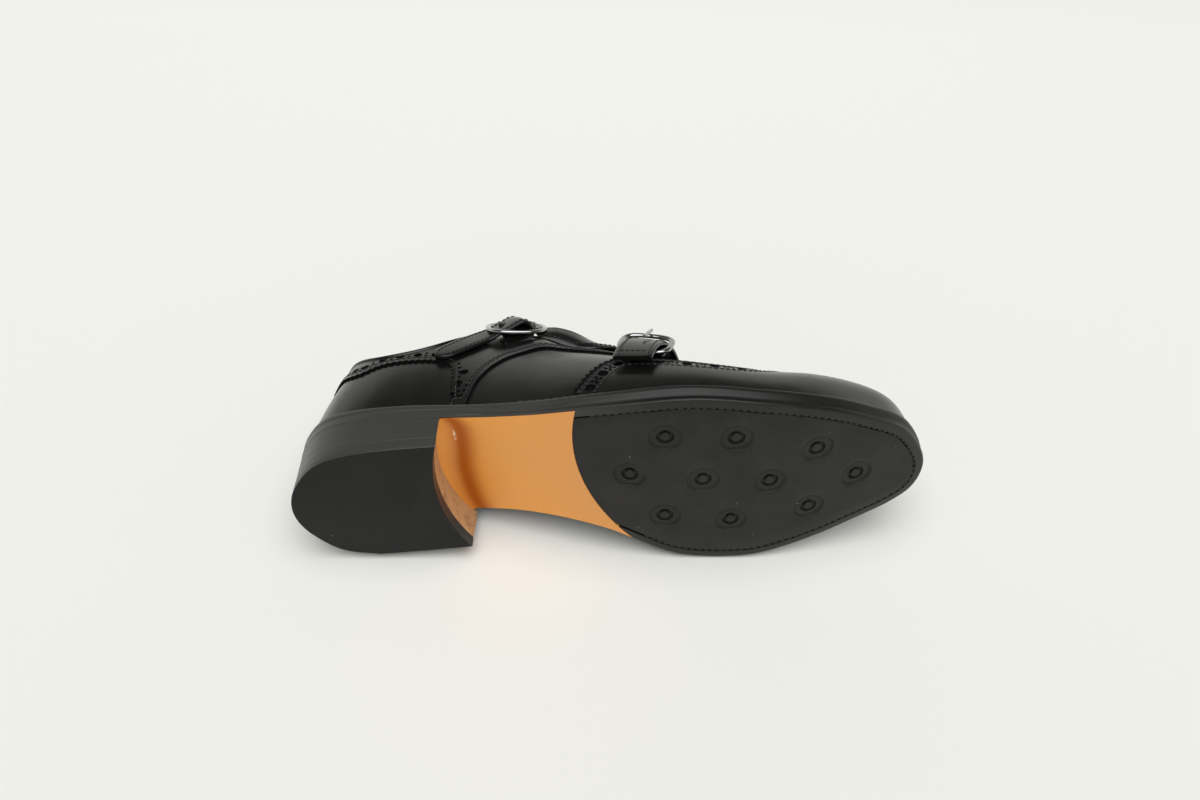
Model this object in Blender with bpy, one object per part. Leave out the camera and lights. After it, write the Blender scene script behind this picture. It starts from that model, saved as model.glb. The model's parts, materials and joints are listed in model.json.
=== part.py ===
"""Right-foot double-monk brogue with a low block heel, empty, lying on its medial side.

The shoe is modelled standing: x runs from heel to toe, +y is the medial side and z is up. Its parent empty
then rolls it over onto the medial side, so that the sole's edge and the upper rest on the floor at z = 0.
"""

import math
from collections import namedtuple

import bmesh
import bpy
import numpy as np
from mathutils import Matrix, Vector

MM = 0.001
GAP = 0.3 * MM

# Driving sizes
LENGTH = 258 * MM
WALL = 2.0 * MM
OVERLAY = 1.1 * MM
WELT = 2.8 * MM
RIM = 3.8 * MM
PAD = 1.9 * MM
TOP_PIECE = 5.5 * MM
HEEL_TAPER = 0.6 * MM
INSOLE = 2.6 * MM
TONGUE = 1.8 * MM
STRAP = 2.0 * MM
WIRE = 1.1 * MM

# Outsole edge seen from above: distance of each side from the axis
Outline = namedtuple("Outline", "station lateral medial")
SOLE_OUTLINE = (
    Outline(0, 0.0, 0.0),
    Outline(5, 15.0, 14.5),
    Outline(15, 25.5, 24.5),
    Outline(30, 30.3, 29.0),
    Outline(48, 31.8, 29.0),
    Outline(66, 32.4, 25.6),
    Outline(95, 37.1, 21.0),
    Outline(125, 43.8, 24.8),
    Outline(155, 47.4, 39.2),
    Outline(185, 43.3, 42.6),
    Outline(210, 36.1, 37.4),
    Outline(231, 25.9, 30.6),
    Outline(247, 14.6, 25.1),
    Outline(254, 4.1, 20.5),
    Outline(258, -9.0, 9.0),
)

# Side view of the sole: underside, its extra rise at the medial edge, and edge height with the welt
Profile = namedtuple("Profile", "station bottom arch edge")
SOLE_PROFILE = (
    Profile(0, 23.4, 2.5, 7.0),
    Profile(30, 21.3, 2.5, 7.0),
    Profile(66, 18.7, 2.5, 7.0),
    Profile(91, 12.3, 1.6, 7.0),
    Profile(106, 8.3, 1.1, 7.2),
    Profile(122, 4.4, 0.6, 7.8),
    Profile(140, 1.2, 0.2, 8.2),
    Profile(158, 0.0, 0.0, 8.2),
    Profile(164, 0.0, 0.0, 8.2),
    Profile(176, 0.0, 0.0, 8.2),
    Profile(182, 0.0, 0.0, 8.2),
    Profile(200, 1.4, 0.0, 8.2),
    Profile(220, 4.6, 0.0, 8.2),
    Profile(240, 9.0, 0.0, 8.2),
    Profile(258, 13.7, 0.0, 8.2),
)
ARCH_REACH = 28 * MM

# Last: ridge height and its shift to the medial side, roundness of the section, ledge left on the welt
# and how far the side wall swells out over it
Last = namedtuple("Last", "station ridge shift fullness ledge swell")
LAST = (
    Last(0, 102, 0.0, 2.0, 1.6, 1.2),
    Last(40, 106, 0.0, 2.0, 1.6, 1.6),
    Last(75, 103, 1.0, 2.0, 1.4, 1.2),
    Last(95, 94.5, 3.0, 2.0, 1.4, 0.8),
    Last(115, 80.5, 5.0, 2.0, 1.8, 0.8),
    Last(135, 68, 5.0, 2.02, 2.6, 1.0),
    Last(155, 56.5, 4.5, 2.03, 3.0, 1.2),
    Last(175, 49, 4.0, 2.08, 3.0, 1.2),
    Last(195, 45, 4.5, 2.18, 3.0, 1.2),
    Last(212, 44.5, 6.0, 2.5, 2.8, 1.2),
    Last(232, 44.5, 8.0, 2.8, 2.4, 1.2),
    Last(258, 41, 9.0, 3.0, 2.2, 1.2),
)
RIDGE_BACK = 36 * MM
RIDGE_FRONT = 241 * MM
SWELL_TOP = 0.75

# Top line of collar and throat, as heights; past the throat it lies above the ridge and the vamp is closed
Opening = namedtuple("Opening", "station lateral medial")
OPENING = (
    Opening(0, 78.5, 78.5),
    Opening(7, 78.5, 78.5),
    Opening(14, 74, 74.5),
    Opening(22, 68.5, 69.5),
    Opening(32, 64, 66),
    Opening(44, 64, 66),
    Opening(54, 67.5, 68.5),
    Opening(66, 76, 74.5),
    Opening(76, 82.5, 80.5),
    Opening(85, 85, 86),
    Opening(94, 78, 90),
    Opening(103, 68, 85),
    Opening(112, 61, 79),
    Opening(124, 57, 71.5),
    Opening(133, 56, 67),
    Opening(141, 56.5, 62.8),
    Opening(148, 57.2, 59.8),
    Opening(154, 59, 59.5),
    Opening(162, 66, 66),
    Opening(258, 110, 110),
)

# Overlay edges on the last, as shares of the way from the welt to the ridge
Edge = namedtuple("Edge", "station rise")
WING_EDGE = (
    Edge(117, 0.01),
    Edge(121.5, 0.05),
    Edge(125.5, 0.10),
    Edge(130.5, 0.165),
    Edge(136, 0.22),
    Edge(145, 0.275),
    Edge(158, 0.32),
    Edge(168, 0.345),
    Edge(178, 0.38),
    Edge(188, 0.46),
    Edge(196, 0.60),
    Edge(203, 0.82),
    Edge(208, 1.00),
    Edge(258, 1.00),
)
FACING_EDGE = (
    Edge(0, 0.21),
    Edge(16, 0.205),
    Edge(24, 0.215),
    Edge(32, 0.23),
    Edge(42, 0.24),
    Edge(51.5, 0.22),
    Edge(58, 0.18),
    Edge(62.5, 0.10),
    Edge(65, 0.02),
    Edge(72, 0.02),
    Edge(75, 0.105),
    Edge(78.5, 0.175),
    Edge(84, 0.24),
    Edge(91.5, 0.30),
    Edge(99, 0.36),
    Edge(108, 0.415),
    Edge(116, 0.445),
    Edge(124, 0.46),
    Edge(138, 0.48),
)
FOOT_RISE = 0.012
BAND_LEAST = 0.03

# Cutters for the overlays: line inside the last that they widen from, and their reach as shares of the way
# from that line to the last
SPINE_ENDS = (40 * MM, 222 * MM)
SPINE_HEIGHT = 0.35
REGION_INNER = 0.7
REGION_OUTER = 1.3
FACING_END = 136 * MM
SEAM_TURN = 0.012

# Tongue: ends along the shoe, and its edges as shares across the last
TONGUE_TOP = 98 * MM
TONGUE_ROOT = 168 * MM
TONGUE_MEDIAL = 0.50
TONGUE_LATERAL = -0.62
TONGUE_PLAY = 2.3 * MM

# Strap routes: place along the shoe, share across it from lateral (-1) to medial (+1), height off the last
Route = namedtuple("Route", "station across off width")
STRAP_FRONT = (
    Route(152, 0.60, 3.0, 16),
    Route(152, 0.36, 3.2, 16),
    Route(151, 0.12, 4.0, 16),
    Route(149, -0.14, 5.0, 16),
    Route(147, -0.33, 6.0, 16),
    Route(144.7, -0.47, 6.5, 16),
    Route(142.8, -0.57, 6.7, 16),
    Route(141, -0.67, 6.3, 16),
    Route(139, -0.76, 4.2, 16),
)
STRAP_REAR = (
    Route(120, 0.55, 4.0, 30),
    Route(119, 0.30, 4.8, 30),
    Route(118, 0.08, 7.5, 29),
    Route(114, -0.10, 9.8, 25),
    Route(108, -0.22, 9.9, 20),
    Route(101, -0.31, 7.8, 16.5),
    Route(95.5, -0.372, 3.9, 13.8),
    Route(83, -0.468, 8.9, 13.8),
    Route(73, -0.58, 2.9, 13.4),
    Route(64.5, -0.685, 2.9, 12.8),
    Route(57, -0.755, 2.9, 10),
)
CHAPE_FRONT = (
    Route(140.4, -0.70, 2.2, 13),
    Route(139.8, -0.73, 2.2, 13),
    Route(139, -0.76, 2.2, 13),
)
CHAPE = 1.0 * MM

# Buckle frames: centre on the last, outside size along and across the strap, corner radius
Buckle = namedtuple("Buckle", "station across off tilt turn along_strap across_strap corner")
BUCKLE_FRONT = Buckle(143.0, -0.57, 6.4, 0.44, -0.22, 16.0, 23.5, 4.0)
BUCKLE_REAR = Buckle(83.0, -0.465, 6.3, 0.03, -1.12, 29.5, 23.5, 7.0)
PRONG = 0.7 * MM
PRONG_BASE = 3.0 * MM
PRONG_LIFT = 4.4 * MM

# Rubber half sole: centre and radius of its rear edge, and the studs in rows on a slanted line
REAR_EDGE = (189 * MM, -24 * MM, 75 * MM)
Stud = namedtuple("Stud", "station across")
STUDS = (
    Stud(135.3, 0),
    Stud(149.1, -21.8),
    Stud(149.1, 21.8),
    Stud(164.1, 0),
    Stud(176.2, -22.8),
    Stud(176.2, 22.8),
    Stud(190.9, 0),
    Stud(208.6, -16.4),
    Stud(208.6, 16.4),
    Stud(227.1, 0),
)
STUD_LINE = (170 * MM, -4.7 * MM, 0.122)
Turned = namedtuple("Turned", "radius depth")
STUD_PROFILE = (
    Turned(2.1, -1.0),
    Turned(2.2, 1.2),
    Turned(3.1, 1.2),
    Turned(3.5, 0.3),
    Turned(6.1, 0.4),
    Turned(6.8, -1.0),
)

STUD_SEGMENTS = 10

# Cutters of the sole: how far they reach under it, over it and past its sides
CUT_LOW = -6 * MM
CUT_HIGH = 40 * MM
CUT_SIDE = 60 * MM

# Heel: centre and radius of the breast's hollow cut, and how far its medial front corner draws in
BREAST = (131 * MM, -9.5 * MM, 72 * MM)
HEEL_FRONT = 76 * MM
HEEL_TUCK = 2.2 * MM

# Small sizes of the sole's edge, the welt and the seams
SOLE_CORNER = 0.9 * MM
EDGE_SWELL = 0.6 * MM
WELT_WIDTH = 7.5 * MM
INSOLE_PLAY = 0.5 * MM
TREAD_CORNER = 0.5 * MM

COLUMNS = 72
ROWS = 8
EVEN_SPACING = 0.55


def smooth(knots, values, where):
    """Cubic through the knots, with each slope taken from the neighbours."""
    slopes = np.gradient(values, knots)
    place = np.clip(np.searchsorted(knots, where) - 1, 0, len(knots) - 2)
    width = knots[place + 1] - knots[place]
    t = np.clip((where - knots[place]) / width, 0.0, 1.0)
    start = values[place] * (1 + 2 * t) + slopes[place] * width * t
    end = values[place + 1] * (3 - 2 * t) - slopes[place + 1] * width * (1 - t)
    return start * (1 - t) ** 2 + end * t**2


def read(table, column, station, unit=MM):
    """Value of a table's column at a place along the shoe."""
    knots = np.array([row.station for row in table]) * MM
    values = np.array([getattr(row, column) for row in table]) * unit
    return smooth(knots, values, np.asarray(station, float))


def turn_at(station, side):
    """Angle round the outline at a station: 0 at the heel, pi at the toe, side -1 lateral, +1 medial."""
    turn = np.arccos(np.clip(1 - 2 * np.asarray(station, float) / LENGTH, -1, 1))
    return np.where(np.asarray(side) < 0, turn, 2 * math.pi - turn)


def closed_outline():
    """Knots of the outline as one closed curve: lateral side forward, medial side back."""
    stations = [row.station * MM for row in SOLE_OUTLINE]
    lateral = [(float(turn_at(s, -1)), -row.lateral * MM) for s, row in zip(stations, SOLE_OUTLINE)]
    medial = [(float(turn_at(s, 1)), row.medial * MM) for s, row in zip(stations, SOLE_OUTLINE)]
    loop = lateral + medial[-2:0:-1]
    before = [(turn - 2 * math.pi, side) for turn, side in loop[-3:]]
    after = [(turn + 2 * math.pi, side) for turn, side in loop[:3]]
    return np.array(before + loop + after).T


TURN_KNOTS, SIDE_KNOTS = closed_outline()


def sole_edge(turn, inset=0.0):
    """Plan of the sole's edge, moved inwards by the inset, with its outward direction."""
    turn = np.asarray(turn, float)
    step = 0.002
    x = LENGTH / 2 * (1 - np.cos(turn))
    y = smooth(TURN_KNOTS, SIDE_KNOTS, turn)
    ahead = smooth(TURN_KNOTS, SIDE_KNOTS, turn + step)
    behind = smooth(TURN_KNOTS, SIDE_KNOTS, turn - step)
    slope_x = LENGTH / 2 * np.sin(turn)
    slope_y = (ahead - behind) / (2 * step)
    size = np.hypot(slope_x, slope_y)
    out = np.stack([slope_y / size, -slope_x / size])
    return x - inset * out[0], y - inset * out[1], out


def bottom(x, y):
    """Underside of the sole, which is flat on the ground under the ball of the foot."""
    level = np.maximum(read(SOLE_PROFILE, "bottom", x), 0.0)
    return level + np.maximum(read(SOLE_PROFILE, "arch", x), 0.0) * y / ARCH_REACH


def sole_top(x, y):
    return bottom(x, y) + read(SOLE_PROFILE, "edge", x)


def outsole_top(x, y):
    return sole_top(x, y) - WELT - GAP


def column_turns():
    """Angles of the columns, part even in angle and part even along the edge, the same on both sides."""
    fine = np.linspace(0, math.pi, 400)
    lengths = []
    for turns in (fine, 2 * math.pi - fine):
        x, y, _ = sole_edge(turns)
        lengths.append(np.concatenate([[0], np.cumsum(np.hypot(np.diff(x), np.diff(y)))]))
    share = sum(length / length[-1] for length in lengths) / 2
    mixed = EVEN_SPACING * share + (1 - EVEN_SPACING) * fine / math.pi
    half = np.interp(np.linspace(0, 1, COLUMNS // 2 + 1), mixed, fine)
    return np.concatenate([half, 2 * math.pi - half[-2:0:-1]])


TURNS = column_turns()


def last(turn, rise):
    """Outside of the upper at an angle round the shoe and a share of the way from welt to ridge."""
    turn = np.asarray(turn, float)
    rise = np.asarray(rise, float)
    station = LENGTH / 2 * (1 - np.cos(turn))
    foot_x, foot_y, out = sole_edge(turn, read(LAST, "ledge", station))
    foot_z = sole_top(foot_x, foot_y) + GAP
    ridge_x = RIDGE_BACK + (RIDGE_FRONT - RIDGE_BACK) * station / LENGTH
    ridge_y = read(LAST, "shift", ridge_x)
    power = 2 / read(LAST, "fullness", station, 1.0)
    lean = 1 - np.cos(rise * math.pi / 2) ** power
    climb = np.sin(rise * math.pi / 2) ** power
    bulge = read(LAST, "swell", station) * np.sin(math.pi * np.minimum(rise / SWELL_TOP, 1))
    x = foot_x + (ridge_x - foot_x) * lean + out[0] * bulge
    y = foot_y + (ridge_y - foot_y) * lean + out[1] * bulge
    z = foot_z + (read(LAST, "ridge", x) - foot_z) * climb
    return np.stack([x, y, z], axis=-1)


def opening_rise(turn):
    """Share of the way up at which the top line cuts the last, or 1 where the vamp is closed."""
    column = "lateral" if turn <= math.pi else "medial"
    rises = np.linspace(0.1, 1, 400)
    points = last(np.full_like(rises, turn), rises)
    over = points[:, 2] - read(OPENING, column, points[:, 0])
    above = np.nonzero(over >= 0)[0]
    if len(above) == 0 or above[0] == 0:
        return 1.0
    first = above[0]
    share = over[first - 1] / (over[first - 1] - over[first])
    return rises[first - 1] + share * (rises[first] - rises[first - 1])


def on_last(station, across):
    """Point of the last at a share across it, from -1 at the lateral welt to +1 at the medial welt."""
    across = np.asarray(across, float)
    return last(turn_at(station, np.where(across < 0, -1, 1)), 1 - np.abs(across))


def out_of_last(station, across):
    """Outward direction of the last at such a point."""
    ahead = on_last(station + 1 * MM, across) - on_last(station - 1 * MM, across)
    sideways = on_last(station, across + 0.02) - on_last(station, across - 0.02)
    normal = np.cross(ahead, sideways)
    return normal / np.linalg.norm(normal, axis=-1, keepdims=True)


def material(name, colour, roughness, metallic=0.0):
    finish = bpy.data.materials.new(name)
    finish.use_nodes = True
    shader = finish.node_tree.nodes["Principled BSDF"]
    shader.inputs["Base Color"].default_value = (*colour, 1)
    shader.inputs["Roughness"].default_value = roughness
    shader.inputs["Metallic"].default_value = metallic
    return finish


def add_solid(name, points, faces, finish=None):
    """Object with this closed mesh, its faces turned outwards; without a finish it is a hidden cutter."""
    mesh = bpy.data.meshes.new(name)
    mesh.from_pydata([tuple(map(float, p)) for p in points], [], faces)
    work = bmesh.new()
    work.from_mesh(mesh)
    bmesh.ops.recalc_face_normals(work, faces=work.faces)
    work.to_mesh(mesh)
    work.free()
    mesh.shade_smooth()
    mesh.set_sharp_from_angle(angle=math.radians(35))
    solid = bpy.data.objects.new(name, mesh)
    bpy.context.scene.collection.objects.link(solid)
    solid.parent = bpy.data.objects["shoe"]
    if finish is None:
        solid.hide_render = True
        solid.display_type = "WIRE"
    else:
        mesh.materials.append(finish)
    return solid


def boolean(solid, cutter, operation="DIFFERENCE"):
    change = solid.modifiers.new(operation.lower(), "BOOLEAN")
    change.operation = operation
    change.object = cutter
    change.solver = "EXACT"


def ring(inset, height, turns=TURNS):
    """Loop of points round the sole at an inset, each at the height its function gives."""
    x, y, _ = sole_edge(turns, inset)
    return np.stack([x, y, height(x, y)], axis=-1)


def cap(first, count):
    """Faces that close a loop of points with strips from side to side."""
    faces = []
    for k in range(count // 2):
        left = (first + k, first + k + 1)
        right = (first + (count - k - 1) % count, first + (count - k) % count)
        face = [*left, *right]
        faces.append(list(dict.fromkeys(face)))
    return [face for face in faces if len(face) > 2]


def stack_rings(name, rings, finish=None, hollow=False):
    """Solid through a stack of loops; a hollow one joins the last loop to the first instead of capping."""
    count = len(rings[0])
    faces = []
    levels = len(rings) if hollow else len(rings) - 1
    for level in range(levels):
        low = level * count
        high = (level + 1) % len(rings) * count
        for k in range(count):
            after = (k + 1) % count
            faces.append([low + k, low + after, high + after, high + k])
    if not hollow:
        faces += cap(0, count)
        faces += cap((len(rings) - 1) * count, count)
    return add_solid(name, np.concatenate(rings), faces, finish)


def point_normals(points, faces):
    """Mean direction of the faces round each point."""
    normals = np.zeros_like(points)
    for face in faces:
        corners = points[list(face)]
        size = np.cross(corners[2] - corners[0], corners[-1] - corners[1])
        for corner in face:
            normals[corner] += size
    return normals / np.linalg.norm(normals, axis=1, keepdims=True)


def wall(name, faces, outer, inner, finish=None):
    """Solid between two copies of an open surface, closed along its rims."""
    count = len(outer)
    sides = [list(face) for face in faces]
    sides += [[count + corner for corner in reversed(face)] for face in faces]
    used = set()
    for face in faces:
        used.update(zip(face, list(face[1:]) + [face[0]]))
    for a, b in used:
        if (b, a) not in used:
            sides.append([b, a, count + a, count + b])
    return add_solid(name, np.concatenate([outer, inner]), sides, finish)


def shell(name, points, faces, outside, inside, finish):
    """Wall of the surface through the points, between two distances off it."""
    normals = point_normals(points, faces)
    return wall(name, faces, points + normals * outside, points + normals * inside, finish)


def region(name, turns, low, high):
    """Cutter that holds all that lies over a patch of the last, widening away from the last's middle."""
    points, faces = last_patch(turns, low, high, 3)
    middle_x = np.clip(points[:, 0], *SPINE_ENDS)
    welt_z = sole_top(middle_x, 0.0)
    middle_z = welt_z + SPINE_HEIGHT * (read(LAST, "ridge", middle_x) - welt_z)
    middle = np.stack([middle_x, read(LAST, "shift", middle_x), middle_z], axis=1)
    reach = points - middle
    return wall(name, faces, middle + reach * REGION_OUTER, middle + reach * REGION_INNER)


def last_patch(turns, low, high, rows):
    """Points and faces of the last between two rises in each column, joined along the ridge where both
    sides of a pair reach it. The turns run once round, or part of the way."""
    closed = len(turns) == COLUMNS
    points = []
    index = {}
    grid = np.zeros((len(turns), rows + 1), int)
    for i, turn in enumerate(turns):
        rises = np.linspace(low[i], high[i], rows + 1)
        for j, point in enumerate(last(np.full(rows + 1, turn), rises)):
            mark = (i, j)
            if j == rows and high[i] > 0.9999:
                mark = ("ridge", *np.round(point / (0.01 * MM)).astype(int))
            if mark not in index:
                index[mark] = len(points)
                points.append(point)
            grid[i, j] = index[mark]
    faces = []
    for i in range(len(turns) if closed else len(turns) - 1):
        after = (i + 1) % len(turns)
        for j in range(rows):
            face = [grid[i, j], grid[after, j], grid[after, j + 1], grid[i, j + 1]]
            faces.append(list(dict.fromkeys(int(corner) for corner in face)))
    return np.array(points), faces


def make_sole(leather, black, rubber):
    """Outsole with the pocket for the rubber, the welt round its top, and the studded half sole."""
    outsole = stack_rings(
        "outsole",
        [
            ring(SOLE_CORNER, bottom),
            ring(0.0, lambda x, y: bottom(x, y) + SOLE_CORNER),
            ring(-EDGE_SWELL, outsole_top),
        ],
        leather,
    )
    stack_rings(
        "welt",
        [
            ring(-EDGE_SWELL, lambda x, y: sole_top(x, y) - WELT),
            ring(EDGE_SWELL, sole_top),
            ring(WELT_WIDTH, sole_top),
            ring(WELT_WIDTH, lambda x, y: sole_top(x, y) - WELT),
        ],
        black,
        hollow=True,
    )
    pad = make_pad("half_sole", RIM + GAP, 0.0, PAD, rubber)
    boolean(pad, rear_limit("half_sole_limit", 0.0), "INTERSECT")
    boolean(pad, stud_cutters())
    pocket = make_pad("pocket", RIM, CUT_LOW, PAD + GAP)
    boolean(pocket, rear_limit("pocket_limit", GAP), "INTERSECT")
    boolean(outsole, pocket)


def make_pad(name, inset, low, high, finish=None):
    """Slab under the forefoot and waist, inside the sole's rim."""
    loops = [ring(inset, lambda x, y, h=h: bottom(x, y) + h) for h in (low, high)]
    return stack_rings(name, loops, finish)


def rear_limit(name, clearance):
    """Upright block whose rear face is the curve at which the rubber starts."""
    x, y, radius = REAR_EDGE
    across = np.linspace(-CUT_SIDE, CUT_SIDE, 25)
    curve = [(x - clearance - math.sqrt(radius**2 - (side - y) ** 2) if abs(side - y) < radius else x, side)
             for side in across]
    front = LENGTH + CUT_SIDE
    plan = curve + [(front, CUT_SIDE), (front, -CUT_SIDE)]
    points = [(*spot, 2 * CUT_LOW) for spot in plan] + [(*spot, CUT_HIGH) for spot in plan]
    count = len(plan)
    sides = [[k, (k + 1) % count, count + (k + 1) % count, count + k] for k in range(count)]
    caps = [list(range(count)), list(range(count, 2 * count))]
    return add_solid(name, points, sides + caps)


def stud_cutters():
    """Turned grooves that leave a round peg and a shallow dish at each stud."""
    middle, offset, slant = STUD_LINE
    points = []
    faces = []
    for stud in STUDS:
        x = stud.station * MM
        y = offset + slant * (x - middle) + stud.across * MM
        slope = float(bottom(x + MM, y) - bottom(x - MM, y)) / (2 * MM)
        place = Matrix.Translation((x, y, float(bottom(x, y)))) @ Matrix.Rotation(-math.atan(slope), 4, "Y")
        first = len(points)
        for step in range(STUD_SEGMENTS):
            angle = 2 * math.pi * step / STUD_SEGMENTS
            for row in STUD_PROFILE:
                spot = Vector((row.radius * math.cos(angle), row.radius * math.sin(angle), row.depth)) * MM
                points.append(place @ spot)
        count = len(STUD_PROFILE)
        for step in range(STUD_SEGMENTS):
            here = first + step * count
            there = first + (step + 1) % STUD_SEGMENTS * count
            for k in range(count):
                after = (k + 1) % count
                faces.append([here + k, here + after, there + after, there + k])
    return add_solid("stud_cutters", points, faces)


def make_heel(black, rubber):
    """Stacked heel and its top piece, both with the hollow breast."""
    back = float(turn_at(HEEL_FRONT, -1))
    turns = np.linspace(-back, back, 29)
    station = LENGTH / 2 * (1 - np.cos(turns))
    tuck = np.where(turns < 0, HEEL_TUCK * (station / HEEL_FRONT) ** 2, 0.0)
    x, y, radius = BREAST
    bpy.ops.mesh.primitive_cylinder_add(vertices=96, radius=radius, depth=2 * CUT_HIGH, location=(x, y, 0))
    breast = bpy.context.object
    breast.name = "breast"
    breast.hide_render = True
    breast.display_type = "WIRE"
    breast.parent = bpy.data.objects["shoe"]

    def level(inset, height):
        return ring(inset + tuck, lambda x, y: np.full_like(x, height), turns)

    top_piece = stack_rings(
        "heel_top_piece",
        [
            level(HEEL_TAPER + TREAD_CORNER, 0.0),
            level(HEEL_TAPER, TREAD_CORNER),
            level(HEEL_TAPER, TOP_PIECE),
        ],
        rubber,
    )
    stack = stack_rings(
        "heel_stack",
        [
            level(HEEL_TAPER, TOP_PIECE + GAP),
            ring(GAP + tuck / 2, lambda x, y: bottom(x, y) - GAP, turns),
        ],
        black,
    )
    boolean(top_piece, breast)
    boolean(stack, breast)


def make_insole(lining):
    """Insole that fills the welt's ring and covers its inner edge."""
    plug = WELT_WIDTH + GAP

    def edge(above):
        station = LENGTH / 2 * (1 - np.cos(TURNS))
        return ring(read(LAST, "ledge", station) + WALL + INSOLE_PLAY, lambda x, y: sole_top(x, y) + above)

    stack_rings(
        "insole",
        [
            ring(plug, lambda x, y: sole_top(x, y) - WELT),
            ring(plug, lambda x, y: sole_top(x, y) + GAP),
            edge(GAP),
            edge(GAP + INSOLE),
        ],
        lining,
    )


def upper_surface():
    """Outside of the upper, from the welt to the collar, the throat or the ridge."""
    tops = np.array([opening_rise(turn) for turn in TURNS])
    points, faces = last_patch(TURNS, np.zeros(COLUMNS), tops, ROWS)
    halves = [[(a, b, c), (a, c, d)] for a, b, c, d in (face for face in faces if len(face) == 4)]
    return points, [face for face in faces if len(face) == 3] + [half for pair in halves for half in pair]


def make_upper(leather):
    """Hollow upper, open at collar, throat and underneath."""
    shell("upper", *upper_surface(), 0.0, -WALL, leather)


def make_overlay(name, cutter, leather):
    """Piece of a second layer over the upper."""
    layer = shell(name, *upper_surface(), GAP + OVERLAY, GAP, leather)
    boolean(layer, cutter, "INTERSECT")


def make_wing_cap(leather):
    """Toe piece whose wings run back along both sides."""
    start = float(turn_at(WING_EDGE[0].station * MM, -1))
    turns = np.array([turn for turn in TURNS if start < turn < 2 * math.pi - start])
    turns = np.concatenate([[start], turns, [2 * math.pi - start]])
    stations = LENGTH / 2 * (1 - np.cos(turns))
    highs = np.clip(read(WING_EDGE, "rise", stations, 1.0), FOOT_RISE + BAND_LEAST, 1.0)
    make_overlay("wing_cap", region("wing_region", turns, np.full(len(turns), FOOT_RISE), highs), leather)


def make_facing(name, side, leather):
    """Band along the collar that runs down to the welt at the waist and forward beside the throat."""
    knots = [row.station * MM for row in FACING_EDGE if row.station * MM < FACING_END]
    stations = np.unique(np.concatenate([knots, np.linspace(0, FACING_END, 7)]))
    turns = turn_at(stations, side)
    turns[0] = SEAM_TURN if side < 0 else 2 * math.pi - SEAM_TURN
    highs = np.array([opening_rise(turn) for turn in turns])
    lows = np.maximum(read(FACING_EDGE, "rise", stations, 1.0), FOOT_RISE)
    lows = np.minimum(lows, highs - BAND_LEAST)
    highs = np.minimum(highs + BAND_LEAST, 0.99)
    if side > 0:
        turns, lows, highs = turns[::-1], lows[::-1], highs[::-1]
    make_overlay(name, region(name + "_region", turns, lows, highs), leather)


def make_tongue(leather):
    """Tongue under the throat, fixed under the vamp."""
    stations = np.linspace(TONGUE_TOP, TONGUE_ROOT, 9)
    shares = np.linspace(TONGUE_MEDIAL, TONGUE_LATERAL, 12)
    points = np.array([on_last(station, share) for share in shares for station in stations])
    count = len(stations)
    faces = [
        [row * count + k, (row + 1) * count + k, (row + 1) * count + k + 1, row * count + k + 1]
        for row in range(len(shares) - 1)
        for k in range(count - 1)
    ]
    depth = WALL + GAP + TONGUE_PLAY
    shell("tongue", points, faces, -depth, -depth - TONGUE, leather)


def route_frames(route, count):
    """Places along a strap with its half width, its width direction and its outward direction."""
    knots = np.arange(len(route), dtype=float)
    where = np.linspace(0, len(route) - 1, count)
    station = smooth(knots, np.array([row.station for row in route]) * MM, where)
    across = smooth(knots, np.array([row.across for row in route], float), where)
    off = smooth(knots, np.array([row.off for row in route]) * MM, where)
    half = smooth(knots, np.array([row.width for row in route]) * MM / 2, where)
    normal = out_of_last(station, across)
    centre = on_last(station, across) + normal * off[:, None]
    ahead = np.gradient(centre, axis=0)
    ahead /= np.linalg.norm(ahead, axis=1, keepdims=True)
    side = np.cross(normal, ahead)
    side /= np.linalg.norm(side, axis=1, keepdims=True)
    return centre, half[:, None], side, np.cross(ahead, side)


def make_strap(name, route, thickness, finish, count):
    """Flat strap along a route, with its corners taken off."""
    centre, half, side, out = route_frames(route, count)
    corner = 0.35 * thickness
    up = thickness / 2
    section = ((-1, 0, -up + corner), (-1, corner, -up), (1, -corner, -up), (1, 0, -up + corner),
               (1, 0, up - corner), (1, -corner, up), (-1, corner, up), (-1, 0, up - corner))
    loops = [centre + side * (half * sign + shift) + out * lift for sign, shift, lift in section]
    points = np.stack(loops, axis=1).reshape(-1, 3)
    size = len(section)
    faces = [
        [k * size + j, k * size + (j + 1) % size, (k + 1) * size + (j + 1) % size, (k + 1) * size + j]
        for k in range(count - 1)
        for j in range(size)
    ]
    faces += [list(range(size)), list(range((count - 1) * size, count * size))]
    return add_solid(name, points, faces, finish)


def buckle_frame(buckle):
    """Place of a buckle: origin on its centre, x along the strap, y across it and z outwards."""
    station = buckle.station * MM
    normal = Vector(out_of_last(station, buckle.across))
    centre = Vector(on_last(station, buckle.across)) + normal * buckle.off * MM
    down = Vector(on_last(station, buckle.across - 0.05)) - Vector(on_last(station, buckle.across + 0.05))
    along = (down - normal * down.dot(normal)).normalized()
    across = normal.cross(along)
    place = Matrix((along, across, normal)).transposed().to_4x4()
    turn = Matrix.Rotation(buckle.turn, 4, "Z") @ Matrix.Rotation(buckle.tilt, 4, "Y")
    return Matrix.Translation(centre) @ place @ turn


def tube(path, radius, closed, sides=6):
    """Points and faces of a round wire through places that each have two directions across it."""
    points = []
    for spot, one, two in path:
        for k in range(sides):
            angle = 2 * math.pi * k / sides
            points.append(spot + (one * math.cos(angle) + two * math.sin(angle)) * radius)
    count = len(path)
    faces = []
    for k in range(count if closed else count - 1):
        after = (k + 1) % count
        for j in range(sides):
            beside = (j + 1) % sides
            faces.append([k * sides + j, k * sides + beside, after * sides + beside, after * sides + j])
    if not closed:
        faces += [list(range(sides)), list(range((count - 1) * sides, count * sides))]
    return points, faces


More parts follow.
